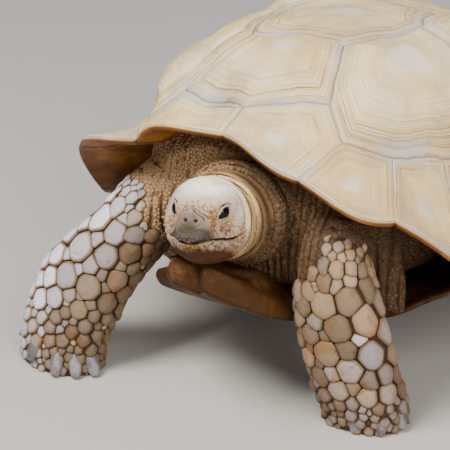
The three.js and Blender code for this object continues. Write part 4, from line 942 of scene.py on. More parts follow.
class Loft:
    """A form along a bent line. Stations: centre, half width, half depth, squareness."""

    def __init__(self, stations, across):
        self.at = np.array([s[0] for s in stations], float)
        self.sizes = np.array([s[1:] for s in stations], float)
        self.along = np.concatenate([[0], np.cumsum(np.linalg.norm(np.diff(self.at, axis=0), axis=1))])
        self.length = self.along[-1]
        self.across = np.array(across, float)
        self.swell = None

    def centre(self, d):
        return np.stack([cubic(self.along, self.at[:, k], d) for k in range(3)], -1)

    def size(self, d):
        return [cubic(self.along, self.sizes[:, k], d) for k in range(3)]

    def axes(self, d):
        a = self.centre(np.maximum(0, d - 0.5))
        b = self.centre(np.minimum(self.length, d + 0.5))
        tangent = unit(b - a)
        side = unit(self.across - tangent * (tangent @ self.across)[..., None])
        return tangent, side, np.cross(tangent, side)

    def point(self, d, angle, rise=0.0):
        """The point of the surface at a distance and an angle, rise further out."""
        d, angle, rise = np.broadcast_arrays(np.asarray(d, float), angle, rise)
        _, side, front = self.axes(d)
        half, deep, square = self.size(d)
        c, s = np.cos(angle), np.sin(angle)
        u = np.sign(c) * np.abs(c) ** (2 / square) * (half + rise)
        v = np.sign(s) * np.abs(s) ** (2 / square) * (deep + rise)
        offset = side * u[..., None] + front * v[..., None]
        point = self.centre(d) + offset
        if self.swell:
            point = point + unit(offset) * self.swell(point)[..., None]
        return point

    def mesh(self, rings, sides, round_ends):
        """A closed mesh of the loft. round_ends: depth of its two caps, as shares of their size."""
        made = Mesh()
        angle = np.arange(sides) / sides * 2 * math.pi
        loops = []
        for d in np.linspace(0, self.length, rings):
            loops.append(made.add(self.point(np.full(sides, d), angle)))
        for end in (0, 1):
            d = end * self.length
            tangent = self.axes(np.array(d))[0] * (1 if end else -1)
            middle = self.centre(np.array(d))
            depth = round_ends[end] * min(self.size(np.array(d))[:2])
            ring = self.point(np.full(sides, float(d)), angle)
            caps = []
            for turn in np.radians([15, 30, 45, 60, 75, 85]):
                bulge = tangent * depth * math.sin(turn)
                caps.append(made.add(middle + (ring - middle) * math.cos(turn) + bulge))
            loops = loops + caps if end else caps[::-1] + loops
            tip = made.add((middle + tangent * depth)[None])[0]
            made.fan(loops[-1] if end else loops[0][::-1], tip)
        made.rings(loops)
        return made

    def where(self, points, samples=90):
        """Points as distance along this loft, angle round it and reach as a share of its own."""
        ds = np.linspace(0, self.length, samples)
        centres = self.centre(ds)
        near = np.empty(len(points), int)
        for start in range(0, len(points), 20000):
            part = points[start:start + 20000]
            near[start:start + 20000] = np.argmin(((part[:, None] - centres) ** 2).sum(2), 1)
        _, side, front = self.axes(ds)
        half, deep, _ = self.size(ds)
        away = points - centres[near]
        u = (away * side[near]).sum(1) / half[near]
        v = (away * front[near]).sum(1) / deep[near]
        return ds[near], np.arctan2(v, u), np.hypot(u, v)


TORSO = [
    [-286, 108, 132, 262], [-262, 134, 120, 272], [-205, 164, 112, 288], [-110, 176, 108, 300],
    [-10, 180, 104, 292],
    [80, 174, 100, 270], [150, 152, 98, 232], [205, 122, 98, 190], [228, 98, 104, 170],
]
SKULL = [
    [49, 34, 29, -33, 2.1], [31, 40, 36, -41, 2.2], [12, 39, 39, -43, 2.3], [-6, 33, 36, -42, 2.3],
    [-20, 26, 30, -39, 2.3], [-33, 20.5, 22, -35, 2.4], [-45, 16.5, 13, -31, 2.5], [-53, 12, 6, -26, 2.5],
]
# Swellings and hollows of the head: centre and half-sizes in its own frame, height. Both sides alike.
FEATURES = [
    ((5.5, -56, 3), (6.5, 9, 5.5), 3),  # nostril's lobe
    ((0, -50, 8), (12, 8, 6), 1),  # nose shield
    ((11, -50, -12), (9, 10, 7), 2.2),  # upper beak
    ((19, -36, 5), (6, 7, 8), -2),  # before the eye
    ((25, -26, -5), (8, 9, 5), -1.6),  # under the eye
    ((20, -20, 22), (9, 12, 5), 1.6),  # brow
    ((38, 16, -6), (16, 22, 20), 2),  # jaw muscle
    ((0, -6, 40), (14, 20, 10), 1),  # crown
]
MOUTH_LINE = [[-80, -20], [-56, -19], [-48, -17], [-30, -15.5], [-12, -15.5], [4, -12.5]]
NECK_FOLDS = [
    [0, 40], [6, 45], [12, 42], [20, 50], [29, 46], [42, 58], [54, 54], [74, 68], [92, 66], [108, 76],
]
NECK_ROOT = np.array([0, -240, 196.0])

# lit: the way that the leg's lit side faces, where its plates are painted greyer and lighter, from
# weathering and painted light. foot_top: height where the plates give way to knobs. plate: half-size
# of the largest plates. turn: of the leg's front, in degrees. outwards: 1 or -1, the way round the leg
# towards its outer edge.
FORELEG_LEFT = {
    "lit": [0.5, -0.86, 0], "foot_top": 44, "plate": 12, "turn": 10, "outwards": -1,
    "stations": [
        [[92, -232, 194], 40, 40], [[98, -266, 192], 36, 38], [[106, -291, 172], 34, 32],
        [[113, -297, 140], 40, 29], [[121, -291, 94], 44, 27], [[127, -282, 54], 43, 28],
        [[132, -271, 22], 41, 32], [[132, -266, -6], 42, 33],
    ],
    "toes": {
        "centre": [132, -266], "reach": [40, 31], "size": 21,
        "headings": [-62, -26, 10, 46, 84], "raised": [4, 0, 0, 0, 2],
    },
}
FORELEG_RIGHT = {
    "lit": [-0.9, -0.4, 0.2], "foot_top": 72, "plate": 14, "turn": -4, "outwards": 1,
    "stations": [
        [[-88, -232, 200], 42, 40], [[-108, -268, 188], 40, 38], [[-134, -298, 150], 38, 33],
        [[-155, -315, 120], 43, 31], [[-174, -325, 92], 50, 28], [[-190, -332, 57], 49, 28],
        [[-198, -337, 26], 48, 31], [[-199, -339, -6], 48, 33],
    ],
    "toes": {
        "centre": [-193, -337], "reach": [47, 35], "size": 23,
        "headings": [-84, -22, 16, 42, 68], "raised": [3, 8, 0, 0, 0],
    },
}
FORELEGS = {"foreleg_left": FORELEG_LEFT, "foreleg_right": FORELEG_RIGHT}
# Distance along a foreleg where its folded skin ends and its plates begin, and the plated length.
PLATES_START = 62
PLATES_LENGTH = 128
HIND_LEG_LEFT = {
    "turn": 20,
    "stations": [
        [[108, 180, 136], 36, 34], [[135, 206, 106], 41, 38], [[149, 210, 74], 40, 38],
        [[153, 200, 38], 40, 40],
        [[153, 196, 12], 43, 44], [[153, 196, -6], 44, 45],
    ],
    "toes": {
        "centre": [153, 196], "reach": [41, 42], "size": 20,
        "headings": [-45, -10, 25, 60], "raised": [0, 0, 0, 0],
    },
}
HIND_LEG_RIGHT = {
    "turn": -25,
    "stations": [
        [[-108, 182, 136], 36, 34], [[-137, 210, 106], 41, 38], [[-154, 230, 74], 40, 38],
        [[-159, 240, 38], 40, 40],
        [[-159, 240, 12], 43, 44], [[-159, 240, -6], 44, 45],
    ],
    "toes": {
        "centre": [-159, 240], "reach": [41, 42], "size": 20,
        "headings": [-65, -30, 5, 40], "raised": [0, 0, 0, 0],
    },
}
TAIL = [
    [[0, 206, 134], 28, 28], [[0, 238, 112], 24, 24], [[3, 264, 88], 17, 17], [[8, 282, 62], 10, 10],
    [[12, 290, 44], 5, 5],
]


def head_swell(points):
    local = to_head(points)
    total = np.zeros(local.shape[:-1])
    for (x, y, z), (a, b, c), high in FEATURES:
        q = ((np.abs(local[..., 0]) - x) / a) ** 2
        q = q + ((local[..., 1] - y) / b) ** 2 + ((local[..., 2] - z) / c) ** 2
        total += high * np.exp(-q)
    return total


def head_loft():
    """The head, from the nose to the nape."""
    stations = [
        [from_head(0, y, (top + low) / 2), half, (top - low) / 2, square]
        for y, half, top, low, square in SKULL
    ]
    loft = Loft(stations, head_turn @ [1, 0, 0])
    loft.swell = head_swell
    return loft


def neck_loft():
    """The neck, from the nape to its root between the shoulders."""
    nape = from_head(0, 36, -3)
    length = np.linalg.norm(NECK_ROOT - nape)
    stations = [[mix(nape, NECK_ROOT, d / length), half, half * 0.9, 2.1] for d, half in NECK_FOLDS]
    return Loft(stations, [1, 0, 0])


def leg_loft(leg):
    """A leg, from inside the body to its sole."""
    turn = math.radians(leg["turn"])
    return Loft([[*s, 2.25] for s in leg["stations"]], [math.cos(turn), math.sin(turn), 0])


def torso_loft():
    """The torso, from its stations in TORSO."""
    stations = [[[0, y, (low + high) / 2], half, (high - low) / 2, 2.6] for y, half, low, high in TORSO]
    return Loft(stations, [1, 0, 0])


LOFTS = {
    "torso": torso_loft(),
    "neck": neck_loft(),
    "head": head_loft(),
    "foreleg_left": leg_loft(FORELEG_LEFT),
    "foreleg_right": leg_loft(FORELEG_RIGHT),
    "hind_leg_left": leg_loft(HIND_LEG_LEFT),
    "hind_leg_right": leg_loft(HIND_LEG_RIGHT),
    "tail": Loft([[*s, 2.1] for s in TAIL], [1, 0, 0]),
}


def tube(points, radii, sides=12, rounded=(0.8, 0.8), rings=None):
    """A round mesh along points."""
    loft = Loft([[p, r, r, 2] for p, r in zip(points, radii)], [0.3, 0.2, 1])
    return loft.mesh(rings or len(points) * 4, sides, rounded)


def ball(centre, radius, rows=24):
    """A mesh of a ball."""
    made = Mesh()
    angle = np.arange(rows * 2) / (rows * 2) * 2 * math.pi
    loops = []
    for tilt in np.linspace(-math.pi / 2, math.pi / 2, rows)[1:-1]:
        flat = math.cos(tilt)
        high = np.full(len(angle), math.sin(tilt))
        circle = np.stack([np.cos(angle) * flat, np.sin(angle) * flat, high], 1)
        loops.append(made.add(np.asarray(centre) + circle * radius))
    made.rings(loops)
    made.fan(loops[0][::-1], made.add((np.asarray(centre) - [0, 0, radius])[None])[0])
    made.fan(loops[-1], made.add((np.asarray(centre) + [0, 0, radius])[None])[0])
    return made


def skull_half(y, z):
    """Half width of the head, at places in its own frame."""
    column = [[row[k] for row in reversed(SKULL)] for k in range(5)]
    half, top, low, square = (cubic(column[0], column[k], y) for k in (1, 2, 3, 4))
    up = np.abs(z - (top + low) / 2) / ((top - low) / 2)
    return half * (1 - np.minimum(1, up) ** square) ** (1 / square)


def mouth_height(y):
    """Height of the line of the mouth, in the head's own frame."""
    return cubic([p[0] for p in MOUTH_LINE], [p[1] for p in MOUTH_LINE], y)


# The loose skin in front of the bridge hangs in upright folds: x, y, half width.
CURTAINS = [(122, -252, 13), (136, -247, 11), (147, -240, 9)]
# The middle line of such a fold, from above: inwards and back from its place, and height.
CURTAIN_LINE = [(14, 6, 214.0), (3, -2, 176.0), (0, 0, 145.0), (0, 4, 112.0)]


def curtains(side):
    """The upright folds of one side."""
    made = []
    for x, y, r in CURTAINS:
        line = [np.array([side * (x - inwards), y + back, z]) for inwards, back, z in CURTAIN_LINE]
        made.append(tube(line, [r, r, r, r * 0.8], 16, (0.3, 0.3), 30))
    return made


def lip(offset, radius):
    """A roll of skin round the mouth, offset above its line."""
    ys = np.array([2, -12, -26, -38, -47, -53.0])
    half = skull_half(ys, mouth_height(ys) + offset) - radius * 0.3
    side = list(zip(half, ys))
    outline = side + [(0, -56.5 + radius * 0.3)] + [(-x, y) for x, y in side[::-1]]
    points = [from_head(x, y, mouth_height(np.array(float(y))) + offset) for x, y in outline]
    radii = [radius * (0.5 if i in (0, len(points) - 1) else 1) for i in range(len(points))]
    return tube(points, radii)


def spurs(loft):
    """Three pointed tubercles on the back of a thigh."""
    made = []
    for turn in (-28, 0, 28):
        angle = math.radians(270 + turn)
        d = 66 - abs(turn) * 0.3
        points = [loft.point(d - 4, angle, -8), loft.point(d, angle, 2), loft.point(d + 9, angle, 13)]
        made.append(tube(points, [9, 7.5, 3]))
    return made


# --------------------------------------------------------------------------------------------------
# One skin over the flesh
# --------------------------------------------------------------------------------------------------

SKIN_VOXEL = 2.2
# The skin stands out a little over the eardrums, behind the corners of the mouth.
EARDRUM = (33, 24, -12)
EARDRUM_RADIUS = 9


def joined(meshes):
    """One mesh of several, without their values."""
    whole = Mesh()
    for m in meshes:
        offset = whole.count
        whole.add(m.all_points())
        whole.faces += [f + offset for f in m.faces]
    return whole


def skin_volume():
    """All the flesh as overlapping closed meshes, none of it below the floor."""
    parts = [
        LOFTS["torso"].mesh(60, 120, (0.12, 0.12)), LOFTS["neck"].mesh(90, 140, (0.1, 0.1)),
        LOFTS["head"].mesh(110, 160, (0.2, 0.3)), LOFTS["tail"].mesh(50, 60, (0.2, 0.8)),
    ]
    for name in (*FORELEGS, "hind_leg_left", "hind_leg_right"):
        parts.append(LOFTS[name].mesh(90, 120, (0.2, 0.05)))
        if name.startswith("hind"):
            parts += spurs(LOFTS[name])
    for side in (1, -1):
        parts.append(ball(from_head(side * EYE["x"], EYE["y"], EYE["z"]), EYE["radius"] + EYE["lid"]))
        parts.append(ball(from_head(side * EARDRUM[0], *EARDRUM[1:]), EARDRUM_RADIUS))
        parts += curtains(side)
    parts += [lip(3, 2.6), lip(-3.4, 2.4)]
    whole = joined(parts)
    whole.points = [whole.all_points()]
    whole.points[0][:, 2] = np.maximum(whole.points[0][:, 2], 0)
    return whole


def remeshed(mesh, voxel):
    """One closed skin round overlapping meshes."""
    source = make_object("skin_volume", mesh)
    modifier = source.modifiers.new("remesh", "REMESH")
    modifier.mode = "VOXEL"
    modifier.voxel_size = voxel / 1000
    graph = bpy.context.evaluated_depsgraph_get()
    data = bpy.data.meshes.new_from_object(source.evaluated_get(graph))
    bpy.data.objects.remove(source)
    return data


def positions(data):
    """The points of a Blender mesh, in millimetres."""
    out = np.empty(len(data.vertices) * 3, np.float32)
    data.vertices.foreach_get("co", out)
    return out.reshape(-1, 3).astype(float) * 1000 - SHIFT


def normals(data):
    out = np.empty(len(data.vertices) * 3, np.float32)
    data.vertex_normals.foreach_get("vector", out)
    return out.reshape(-1, 3).astype(float)


def set_positions(data, points):
    data.vertices.foreach_set("co", to_frame(points).astype(np.float32).ravel())
    data.update()


def relax(data, weight, rounds):
    """Moves each point towards the middle of its neighbours, by weight."""
    edges = np.empty(len(data.edges) * 2, np.int32)
    data.edges.foreach_get("vertices", edges)
    a, b = edges.reshape(-1, 2).T
    count = np.bincount(edges, minlength=len(data.vertices))[:, None]
    points = positions(data)
    for _ in range(rounds):
        total = np.zeros_like(points)
        for k in range(3):
            total[:, k] = np.bincount(a, points[b, k], len(points))
            total[:, k] += np.bincount(b, points[a, k], len(points))
        points += (total / count - points) * np.reshape(weight, (-1, 1))
    set_positions(data, points)


def refine(data, chosen):
    """Splits the faces whose points are all chosen."""
    bm = bmesh.new()
    bm.from_mesh(data)
    bm.verts.ensure_lookup_table()
    inside = set(np.nonzero(chosen)[0].tolist())
    edges = [e for e in bm.edges if e.verts[0].index in inside and e.verts[1].index in inside]
    bmesh.ops.subdivide_edges(bm, edges=edges, cuts=1, use_grid_fill=True)
    bm.to_mesh(data)
    bm.free()


def eye_gaze(side):
    """The way an eye looks, in the head's own frame."""
    look = math.radians(EYE["outwards"])
    return np.array([side * math.sin(look), -math.cos(look), 0])


def eye_place(local, side):
    """Head points as along, across and out from an eye."""
    look, slant = math.radians(EYE["outwards"]), math.radians(EYE["slant"])
    x = side * local[:, 0] - EYE["x"]
    y = local[:, 1] - EYE["y"]
    z = local[:, 2] - EYE["z"]
    out = x * math.sin(look) - y * math.cos(look) - EYE["forward"]
    back = x * math.cos(look) + y * math.sin(look)
    return back * math.cos(slant) + z * math.sin(slant), -back * math.sin(slant) + z * math.cos(slant), out


def within(data, half_width, rear, half_height):
    """Which points lie in a box round the head, in its own frame."""
    local = to_head(positions(data))
    return (np.abs(local[:, 0]) < half_width) & (local[:, 1] < rear) & (np.abs(local[:, 2]) < half_height)


def build_skin():
    """One closed skin over all the flesh, finer on the head and finest on the face."""
    data = remeshed(skin_volume(), SKIN_VOXEL)
    data.name = "skin"
    relax(data, 0.5, 3)
    refine(data, within(data, 60, 70, 65))
    refine(data, within(data, 46, 14, 48))
    relax(data, within(data, 62, 72, 67) * 0.5, 6)
    return data


# Colours of the head, painted one over the other: centre and half-sizes in its own frame (x to both
# sides, unless the last value says one side only), colour and strength.
HEAD_BASE = (0.50, 0.36, 0.24)
COLLAR_TINT = (0.78, 0.60, 0.34)
LID_TINT = (0.27, 0.215, 0.16)
HEAD_TINTS = [
    ((38, 10, 0), (10, 10, 24), (0.46, 0.30, 0.16), 0.8, False),  # behind the cheeks
    ((0, -6, 37), (34, 36, 19), (0.93, 0.86, 0.77), 1.7, False),  # crown
    ((34, -4, 10), (8, 11, 10), (0.60, 0.51, 0.49), 0.9, False),  # temple
    ((0, -42, 14), (15, 13, 8), (0.56, 0.39, 0.24), 0.9, False),  # bridge of the nose
    ((0, -57, 3), (14, 12, 9), (0.165, 0.128, 0.108), 1.3, False),  # nose
    ((0, -54, -13), (24, 20, 10), (0.062, 0.05, 0.047), 1.7, False),  # beak
    ((-3, -60, -8), (7, 9, 6), (0.06, 0.055, 0.02), 1.0, True),  # its green stain
    ((17, -38, 3), (5, 7, 9), (0.42, 0.20, 0.05), 0.9, False),  # before the eye
    ((27, -14, 0), (9, 9, 5), (0.55, 0.37, 0.17), 0.7, False),  # under the eye
    ((25, -20, -8), (9, 9, 5), (0.27, 0.15, 0.10), 0.9, False),  # lip
    ((0, -30, -21), (46, 34, 4.5), (0.55, 0.42, 0.29), 1.2, False),  # lower lip
    ((2, -50, -23), (9, 16, 5), (0.52, 0.29, 0.085), 1.3, True),  # its ochre stain
    # The throat's dark brown is painted shade under the jaw.
    ((0, -10, -40), (46, 66, 14.5), (0.06, 0.023, 0.008), 2.2, False),  # throat
]
# Where the small scales of the face lie: centre and half-sizes, on both sides.
HEAD_SCALES = [
    ((28, -14, -4), (11, 14, 9)), ((12, -36, -21), (34, 36, 7)), ((36, 2, -14), (8, 9, 12)),
    ((17, -38, 4), (6, 8, 10)), ((0, -46, 14), (14, 9, 6)),
]
# Grooves and ridges of the face, on both sides: points, half width, height.
HEAD_LINES = [
    ([(16, -42, 10), (19.5, -36, 2), (18.5, -38, -5), (22, -33, -12)], 1.5, -0.9),
    ([(15, -40, 12), (21, -29, 18), (27, -17, 21), (31, -7, 20)], 2.6, 1.2),
    ([(15, -38, 17), (21, -27, 22.5), (27, -15, 25), (31, -5, 24)], 1.1, -0.5),
    ([(31, -8, -14), (36, 2, -12.5), (40, 10, -8)], 1.0, -1.1),
    ([(30, -6, -19), (37, 6, -16), (42, 14, -11)], 1.0, -0.8),
    ([(31, -2, -24), (38, 9, -21), (42, 16, -16)], 1.0, -0.8),
    ([(26, -20, -3), (31, -10, -5), (34, -2, -10)], 1.1, -0.5),
]
# Spacing and depth of the folds of the loose skin.
NECK_FOLDING = (4.2, 1.4)
ARM_FOLDING = (8.5, 2.2)
FLANK_FOLDING = (8.5, 3.4)
# Rings round the nose: size as a share of the nose pad, and depth.
NOSE_RINGS = [(1.0, 0.6), (1.32, 0.5), (1.66, 0.45)]
# Dark lines beside the smooth rings behind the cheek: y in the head's frame, strength.
COLLAR_LINES = [(6.5, 0.9), (13.5, 0.5), (19.5, 0.8)]
FACE_SCALE = 4.6
NOSTRIL = (4.9, -61, 0.6)


def line_distance(points, line):
    """Distance to a line of points."""
    best = np.full(len(points), 1e9)
    for a, b in zip(line, line[1:]):
        a, b = np.array(a, float), np.array(b, float)
        f = clamp01((points - a) @ (b - a) / ((b - a) @ (b - a)))
        best = np.minimum(best, np.linalg.norm(points - a - f[:, None] * (b - a), axis=1))
    return best


def valleys(phase, sharp=0.24):
    """1 in the valley of each fold, 0 between."""
    return smooth(1 - np.abs(phase - np.round(phase)) / sharp)


def belongs(owner, *names):
    """Which points the lofts of these names carry, from the numbers of the points' lofts."""
    return np.isin(owner, [list(LOFTS).index(name) for name in names])


class Sculpt:
    """The skin while it is worked on: its points, how far they move along the normals, and the masks
    of its paint. fold is 1 in creases and cracks, which the paint darkens, in the creases as painted shade;
    dark is 1 in the mouth, nostrils and eyes."""

    def __init__(self, data):
        self.points, self.normal = positions(data), normals(data)
        self.local = to_head(self.points)
        self.mirrored = self.local.copy()
        self.mirrored[:, 0] = np.abs(self.local[:, 0])
        self.move, self.fold, self.dark = np.zeros((3, len(self.points)))
        self.reach = {name: loft.where(self.points) for name, loft in LOFTS.items()}
        self.owner = np.argmin(np.stack([r[2] for r in self.reach.values()]), 0)
        x, y, z = self.mirrored.T
        self.is_head = (y < 22) & (x < 52) & (np.abs(z) < 56)
        self.head = smooth((21 - y) / 4) * self.is_head
        self.wavy = self.local + 1.2 * np.stack([noise(self.local, 7, k) for k in (31, 32, 33)], 1)

    def crease(self, amount):
        self.fold = np.maximum(self.fold, amount)

    def darken(self, amount):
        self.dark = np.maximum(self.dark, amount)

    def stain(self, colour, amount):
        self.tint += (np.array(colour) - self.tint) * clamp01(amount)[:, None]

    def loose_skin(self):
        """Folds across the neck and the upper arms, upright ones before the bridge, and wrinkles."""
        points, local, off_head = self.points, self.local, ~self.is_head
        behind_head = np.linalg.norm(local - [0, 30, 0], axis=1)
        on_leg = belongs(self.owner, "foreleg_left", "foreleg_right")
        on_neck = (belongs(self.owner, "neck") | (behind_head < 84)) & off_head & ~on_leg
        systems = [(on_neck, self.reach["neck"][0], 0.5 * noise(points, 44, 2), NECK_FOLDING)]
        for name in FORELEGS:
            d = self.reach[name][0]
            arm = belongs(self.owner, name) & (d < PLATES_START) & off_head
            systems.append((arm, d, 0.9 * noise(points, 38, 5), ARM_FOLDING))
        flank = belongs(self.owner, "torso") & (points[:, 1] < -150) & off_head & ~on_neck
        systems.append((flank, points[:, 0], 0.8 * noise(points, 60, 6), FLANK_FOLDING))
        uneven = 0.55 + 0.45 * noise(points, 24, 12)
        for mask, along, shift, (spacing, depth) in systems:
            phase = along / spacing + shift
            valley = valleys(phase) * mask
            small = valleys(phase * 2.7 + noise(points, 12, 7)) * mask * 0.35
            self.move -= depth * (valley + small) * uneven
            self.crease((0.95 * valley + 0.6 * small) * smooth(uneven + 0.3))

        loose = belongs(self.owner, "torso", "neck", "hind_leg_left", "hind_leg_right", "tail") & off_head
        wrinkle = smooth(1 - np.abs(fractal(points, 17, 11, 3)) / 0.1) * loose
        wrinkle = wrinkle * smooth((behind_head - 55) / 20)
        self.move -= wrinkle * 0.9
        self.crease(wrinkle * 0.6)

        near_head = smooth((50 - behind_head) / 8) * smooth((local[:, 0] + 22) / 26)
        self.collar = on_neck * near_head * 0.8 * (1 - self.fold)
        # pale is painted light and shade: lit tan towards -x and at the rear, painted shade towards +x
        # under the shell, with lighter patches.
        patches = smooth(0.4 + noise(points, 90, 90)) * mix(0.05, 0.3, smooth((110 - points[:, 0]) / 30))
        self.pale = np.where(points[:, 1] > 0, 0.6, clamp01(smooth((30 - points[:, 0]) / 70) + patches))
        self.plated = smooth((scale_sizes(points)[0] - 2.6) / 1.2) * off_head

    def face_lines(self):
        for line, width, high in HEAD_LINES:
            near = bell(line_distance(self.mirrored, line) / width) * self.is_head
            self.move += high * near
            if high < 0:
                self.crease(near * min(1, -high))

    def nose(self):
        """A smooth pad in rings of wrinkles, with a groove down its middle."""
        local = self.local
        bent = local + 2.6 * np.stack([noise(local, 10, k) for k in (34, 35, 36)], 1)
        pad = np.hypot(bent[:, 0] / 12, (bent[:, 2] - 1.5) / 8)
        on_nose = smooth((-42 - local[:, 1]) / 8)
        for size, depth in NOSE_RINGS:
            ring = bell((pad - size) / 0.075) * smooth((bent[:, 2] - (size - 1) * 6) / 4) * on_nose
            self.move -= ring * depth
            self.crease(ring * depth * 1.9)
        groove = bell(bent[:, 0] / 0.8) * on_nose
        groove = groove * smooth((local[:, 2] - 1) / 2) * smooth((12 - local[:, 2]) / 3)
        self.move += 0.5 * smooth((1.05 - pad) * 3) * on_nose - 0.5 * groove
        self.crease(0.5 * groove)

    def collar_rings(self):
        """Smooth rings of skin behind the left cheek and over the crown."""
        local = self.local
        self.ring_line = local[:, 1] + 1.2 * noise(local, 20, 93)
        self.ringed = self.is_head * smooth((local[:, 0] + 22) / 26) * smooth((local[:, 2] + 22) / 22)
        ridge, valley = bell((self.ring_line - 13) / 4), bell((self.ring_line - 6.5) / 1.1)
        self.move += self.ringed * (1.3 * ridge - valley)
        for at, depth in COLLAR_LINES:
            self.crease(depth * bell((self.ring_line - at) / 0.8) * self.ringed)

    def face_scales(self):
        """Small scales on the cheeks, the jaw and the bridge of the nose."""
        scaly = np.max([blob(self.mirrored, centre, sizes) for centre, sizes in HEAD_SCALES], 0)
        scaly = smooth(scaly * self.is_head * 2.2)
        for i in np.nonzero(scaly > 0.02)[0]:
            nearest, second = voronoi(Vector(self.wavy[i] / FACE_SCALE))[0][:2]
            inside = second - nearest
            joint = smooth(1 - inside / 0.2) * scaly[i]
            self.move[i] += (1.1 * smooth(inside / 0.5) - 0.7) * scaly[i] - 0.5 * joint
            self.fold[i] = max(self.fold[i], 0.85 * joint)

    def cracks(self):
        """Cracks in the horn above the nose, few elsewhere, and a fine roughness."""
        local = self.local
        cracked = blob(self.mirrored, [8, -42, 16], [16, 16, 11]) + 0.35 * smooth(noise(local, 16, 40) * 2)
        crack = smooth(1 - np.abs(fractal(self.wavy, 15, 44, 2)) / 0.035)
        crack = crack * clamp01(cracked) * (local[:, 2] > 4) * self.head
        self.move -= crack * 0.5
        self.crease(crack * 0.55)
        self.move += 0.18 * fractal(local, 5, 50, 3) * self.head

    def mouth(self):
        """A notched beak that overhangs the lower lip, and the creases of the chin."""
        local = self.local
        notch = 2.2 * bell((local[:, 0] + 1) / 4.5) * (local[:, 1] < -40)
        line = mouth_height(np.clip(local[:, 1], -80, 4)) - notch + 0.5 * noise(local, 6, 61)
        above = local[:, 2] - line
        in_face = (local[:, 1] < 12) & (np.abs(above) < 30) & (self.mirrored[:, 0] < 46)
        corner = smooth((4 - local[:, 1]) / 8) * in_face
        ahead = smooth((-14 - local[:, 1]) / 26)
        gap = bell((above + 1.0) / 1.5) * corner
        self.move -= gap * mix(2.6, 5.0, ahead)
        self.move += corner * ahead * (1.7 * bell((above - 2.6) / 2.4) - 1.8 * bell((above + 5.5) / 3.4))
        # Painted shade: the gap is painted nearly black and the skin beside the line darkened, under the
        # beak's overhang.
        self.darken(smooth(gap * 1.25 - 0.15))
        self.crease(0.6 * bell((above + 0.6) / 2.4) * corner)
        under = smooth((-30 - local[:, 2]) / 6) * self.is_head
        chin = valleys(local[:, 1] / 6.5 + 0.5 * noise(local, 15, 70)) * under
        self.move -= chin * 0.7
        self.crease(chin * 0.5)
        self.above_mouth = above

    def nostrils(self):
        for side in (1, -1):
            away = self.local - [side * NOSTRIL[0], *NOSTRIL[1:]]
            away[:, 1] *= 0.25
            near = np.linalg.norm(away, axis=1)
            front = self.local[:, 1] < -48
            pit = np.exp(-((near / 1.75) ** 4)) * front
            self.move += -4.0 * pit + 0.7 * bell((near - 3.4) / 1.2) * front
            # The pits are painted nearly black as painted shade.
            self.darken(pit)

    def tints(self):
        """The colours of the head. Those of the beak and the lower lip stop at the mouth."""
        self.tint = np.tile(HEAD_BASE, (len(self.points), 1))
        speckle = 1 + 0.35 * fractal(self.local, 9, 80, 3)
        for centre, sizes, colour, strength, one_side in HEAD_TINTS:
            place = self.local if one_side else self.mirrored
            blotch = clamp01(strength * blob(place, centre, sizes) * speckle)
            if centre[1] < -15:
                below = centre[2] < -18
                blotch *= smooth(0.5 - self.above_mouth) if below else smooth(self.above_mouth + 1.5)
            self.stain(colour, blotch)
        self.stain(COLLAR_TINT, self.ringed * np.exp(-(((self.ring_line - 13) / 5.5) ** 4)))

    def lids(self):
        """The openings of the eyes are pressed down to the eyeballs, each between two pale rims."""
        long, deep = EYE["opening"]
        back = 0.8  # the middle of the opening is this far ahead of the ball's
        self.points = self.points + self.normal * self.move[:, None]
        for side in (1, -1):
            along, across, out = eye_place(self.local, side)
            along = along + back
            half = np.where(across > 0, 0.66 * deep, 0.98 * deep)
            shape = half * np.maximum(1 - (along / long) ** 2, -3) - np.abs(across)
            near_eye = (out > 3) & (np.hypot(along, across) < 20) & (side * self.local[:, 0] > 0)
            opening = smooth(shape / 0.8 + 0.5) * near_eye
            rim = bell((shape + 1.5) / 0.9) * near_eye
            furrow = bell((shape + 3.9) / 0.85) * near_eye * np.where(across > 0, 1, 0.6)
            self.points += self.normal * (0.6 * rim - 1.0 * furrow)[:, None]
            gaze = eye_gaze(side)
            ball_at = np.sqrt(np.maximum((EYE["radius"] - 1.0) ** 2 - (along - back) ** 2 - across**2, 1))
            now = (to_head(self.points) - [side * EYE["x"], EYE["y"], EYE["z"]]) @ gaze - EYE["forward"]
            self.points += head_turn @ gaze * ((ball_at - now) * opening)[:, None]
            self.darken(opening)
            # The furrow is darkened as painted shade, more above the eye, as the upper lid's painted
            # shadow.
            self.crease(furrow * np.where(across > 0, 1, 0.6))
            self.stain(LID_TINT, rim)


def sculpt_skin(data):
    """Moves the points of the skin and gives it the masks that its paint reads."""
    work = Sculpt(data)
    for step in (
        work.loose_skin, work.face_lines, work.nose, work.collar_rings, work.face_scales, work.cracks,
        work.mouth, work.nostrils, work.tints, work.lids,
    ):
        step()
    set_positions(data, work.points)
    for name in ("fold", "dark", "head", "collar", "pale", "plated"):
        set_value(data, name, getattr(work, name))
    layer = data.attributes.new("tint", "FLOAT_COLOR", "POINT")
    rgba = np.concatenate([work.tint, np.ones((len(work.tint), 1))], 1)
    layer.data.foreach_set("color", rgba.astype(np.float32).ravel())
    data.polygons.foreach_set("use_smooth", np.ones(len(data.polygons), bool))
    data.update()


# --------------------------------------------------------------------------------------------------
# Scales: a pavement of plates on the skin
# --------------------------------------------------------------------------------------------------


CANDIDATES = 150000
# Nothing is drawn where the skin is creased more than this.
CREASED = 0.55


